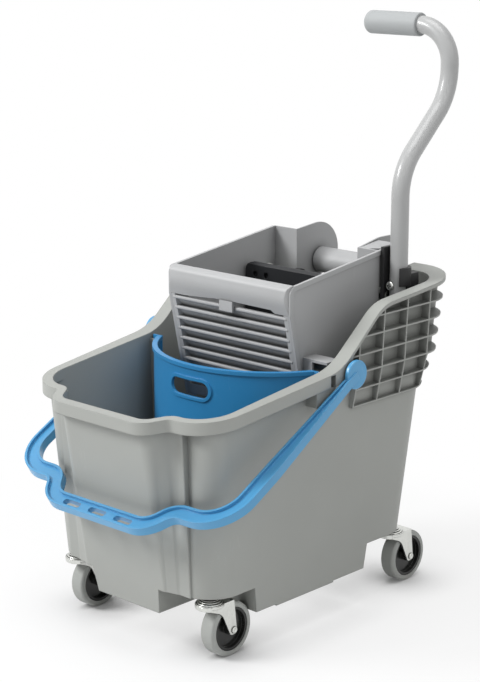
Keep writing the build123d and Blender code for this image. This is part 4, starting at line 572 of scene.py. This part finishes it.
share = put(tree, "ShaderNodeMath", {0: fade.outputs[0], 1: open_share.outputs[0]}, operation="MAXIMUM")
rays = put(tree, "ShaderNodeLightPath").outputs
seen = put(tree, "ShaderNodeMath", {0: rays["Is Camera Ray"], 1: rays["Is Glossy Ray"]}, operation="MAXIMUM")
seen = put(tree, "ShaderNodeMath", {0: seen.outputs[0], 1: rays["Is Transmission Ray"]}, operation="MAXIMUM")
white = put(tree, "ShaderNodeMath", {0: share.outputs[0], 1: seen.outputs[0]}, operation="MULTIPLY")
# Painted contact shadow: the matt colour darkens where the Ambient Occlusion node finds something close
# above.
tone = put(tree, "ShaderNodeMapRange", {"Value": open_sky, "From Min": 0.1, "From Max": 0.6,
                                        "To Min": PAINTED_SHADOW_TONE, "To Max": PAPER_TONE})
matt = put(tree, "ShaderNodeBsdfDiffuse", {"Color": tone.outputs[0]})
glow = put(tree, "ShaderNodeEmission", {"Color": (1, 1, 1, 1), "Strength": 1.0})
blend = put(tree, "ShaderNodeMixShader", {0: white.outputs[0], 1: matt.outputs[0], 2: glow.outputs[0]})
tree.links.new(blend.outputs[0], tree.nodes["Material Output"].inputs["Surface"])
floor_mesh.materials.append(paper)
print("floor:", floor.dimensions[:])

# %% [markdown]
# ## Light
# The photograph has one large soft light high in front and to the left, and white walls all round. The
# world gives the even part; camera, mirror and glass rays see it white. A large area lamp gives the
# direction, a weaker one fills the right side and one hangs above.


# %% World and lamps
world = bpy.data.worlds.new("white_room")
bpy.context.scene.world = world
world.use_nodes = True
tree = world.node_tree
rays = put(tree, "ShaderNodeLightPath").outputs
seen = put(tree, "ShaderNodeMath", {0: rays["Is Camera Ray"], 1: rays["Is Glossy Ray"]}, operation="MAXIMUM")
seen = put(tree, "ShaderNodeMath", {0: seen.outputs[0], 1: rays["Is Transmission Ray"]}, operation="MAXIMUM")
ambient = put(tree, "ShaderNodeBackground", {"Color": (1, 1, 1, 1), "Strength": 0.36})
backdrop = put(tree, "ShaderNodeBackground", {"Color": (1, 1, 1, 1), "Strength": 1.0})
either = put(tree, "ShaderNodeMixShader", {0: seen.outputs[0], 1: ambient.outputs[0], 2: backdrop.outputs[0]})
tree.links.new(either.outputs[0], tree.nodes["World Output"].inputs["Surface"])


def soft_lamp(title, spot, aim, size, watts):
    lamp = bpy.data.lights.new(title, "AREA")
    lamp.shape, lamp.size, lamp.energy = "DISK", size, watts
    holder = bpy.data.objects.new(title, lamp)
    bpy.context.collection.objects.link(holder)
    holder.location = spot
    holder.rotation_euler = (Vector(aim) - Vector(spot)).to_track_quat("-Z", "Y").to_euler()
    return holder


soft_lamp("key_front", (-2.1, -2.8, 2.7), (0, 0, 0.35), 1.6, 122)
soft_lamp("fill_right", (2.6, -0.2, 1.9), (0, 0, 0.3), 2.4, 13)
soft_lamp("top", (0.1, -0.2, 3.2), (0, 0, 0.3), 2.0, 40)

# %% [markdown]
# ## Camera
# The view was fitted to the photograph: 43.2 degrees round to the right, 13.8 degrees down, level. The
# lens goes with a sensor 36 mm high, since the frame is taller than wide.

# %% Camera
bpy.context.scene.view_settings.view_transform = "Standard"
lens = bpy.data.cameras.new("camera")
lens.sensor_fit, lens.sensor_height, lens.sensor_width, lens.lens = "VERTICAL", 36.0, 36.0, 94.865
camera = bpy.data.objects.new("camera", lens)
bpy.context.collection.objects.link(camera)
camera.location = (1.764366, -1.886907, 1.034237)
camera.rotation_euler = (math.radians(90 - 13.838), 0, math.radians(43.237))
bpy.context.scene.camera = camera
print("camera at", [round(v, 3) for v in camera.location])

# %% [markdown]
# ## Last update
# The view layer is updated once more.

# %% Final update
bpy.context.view_layer.update()
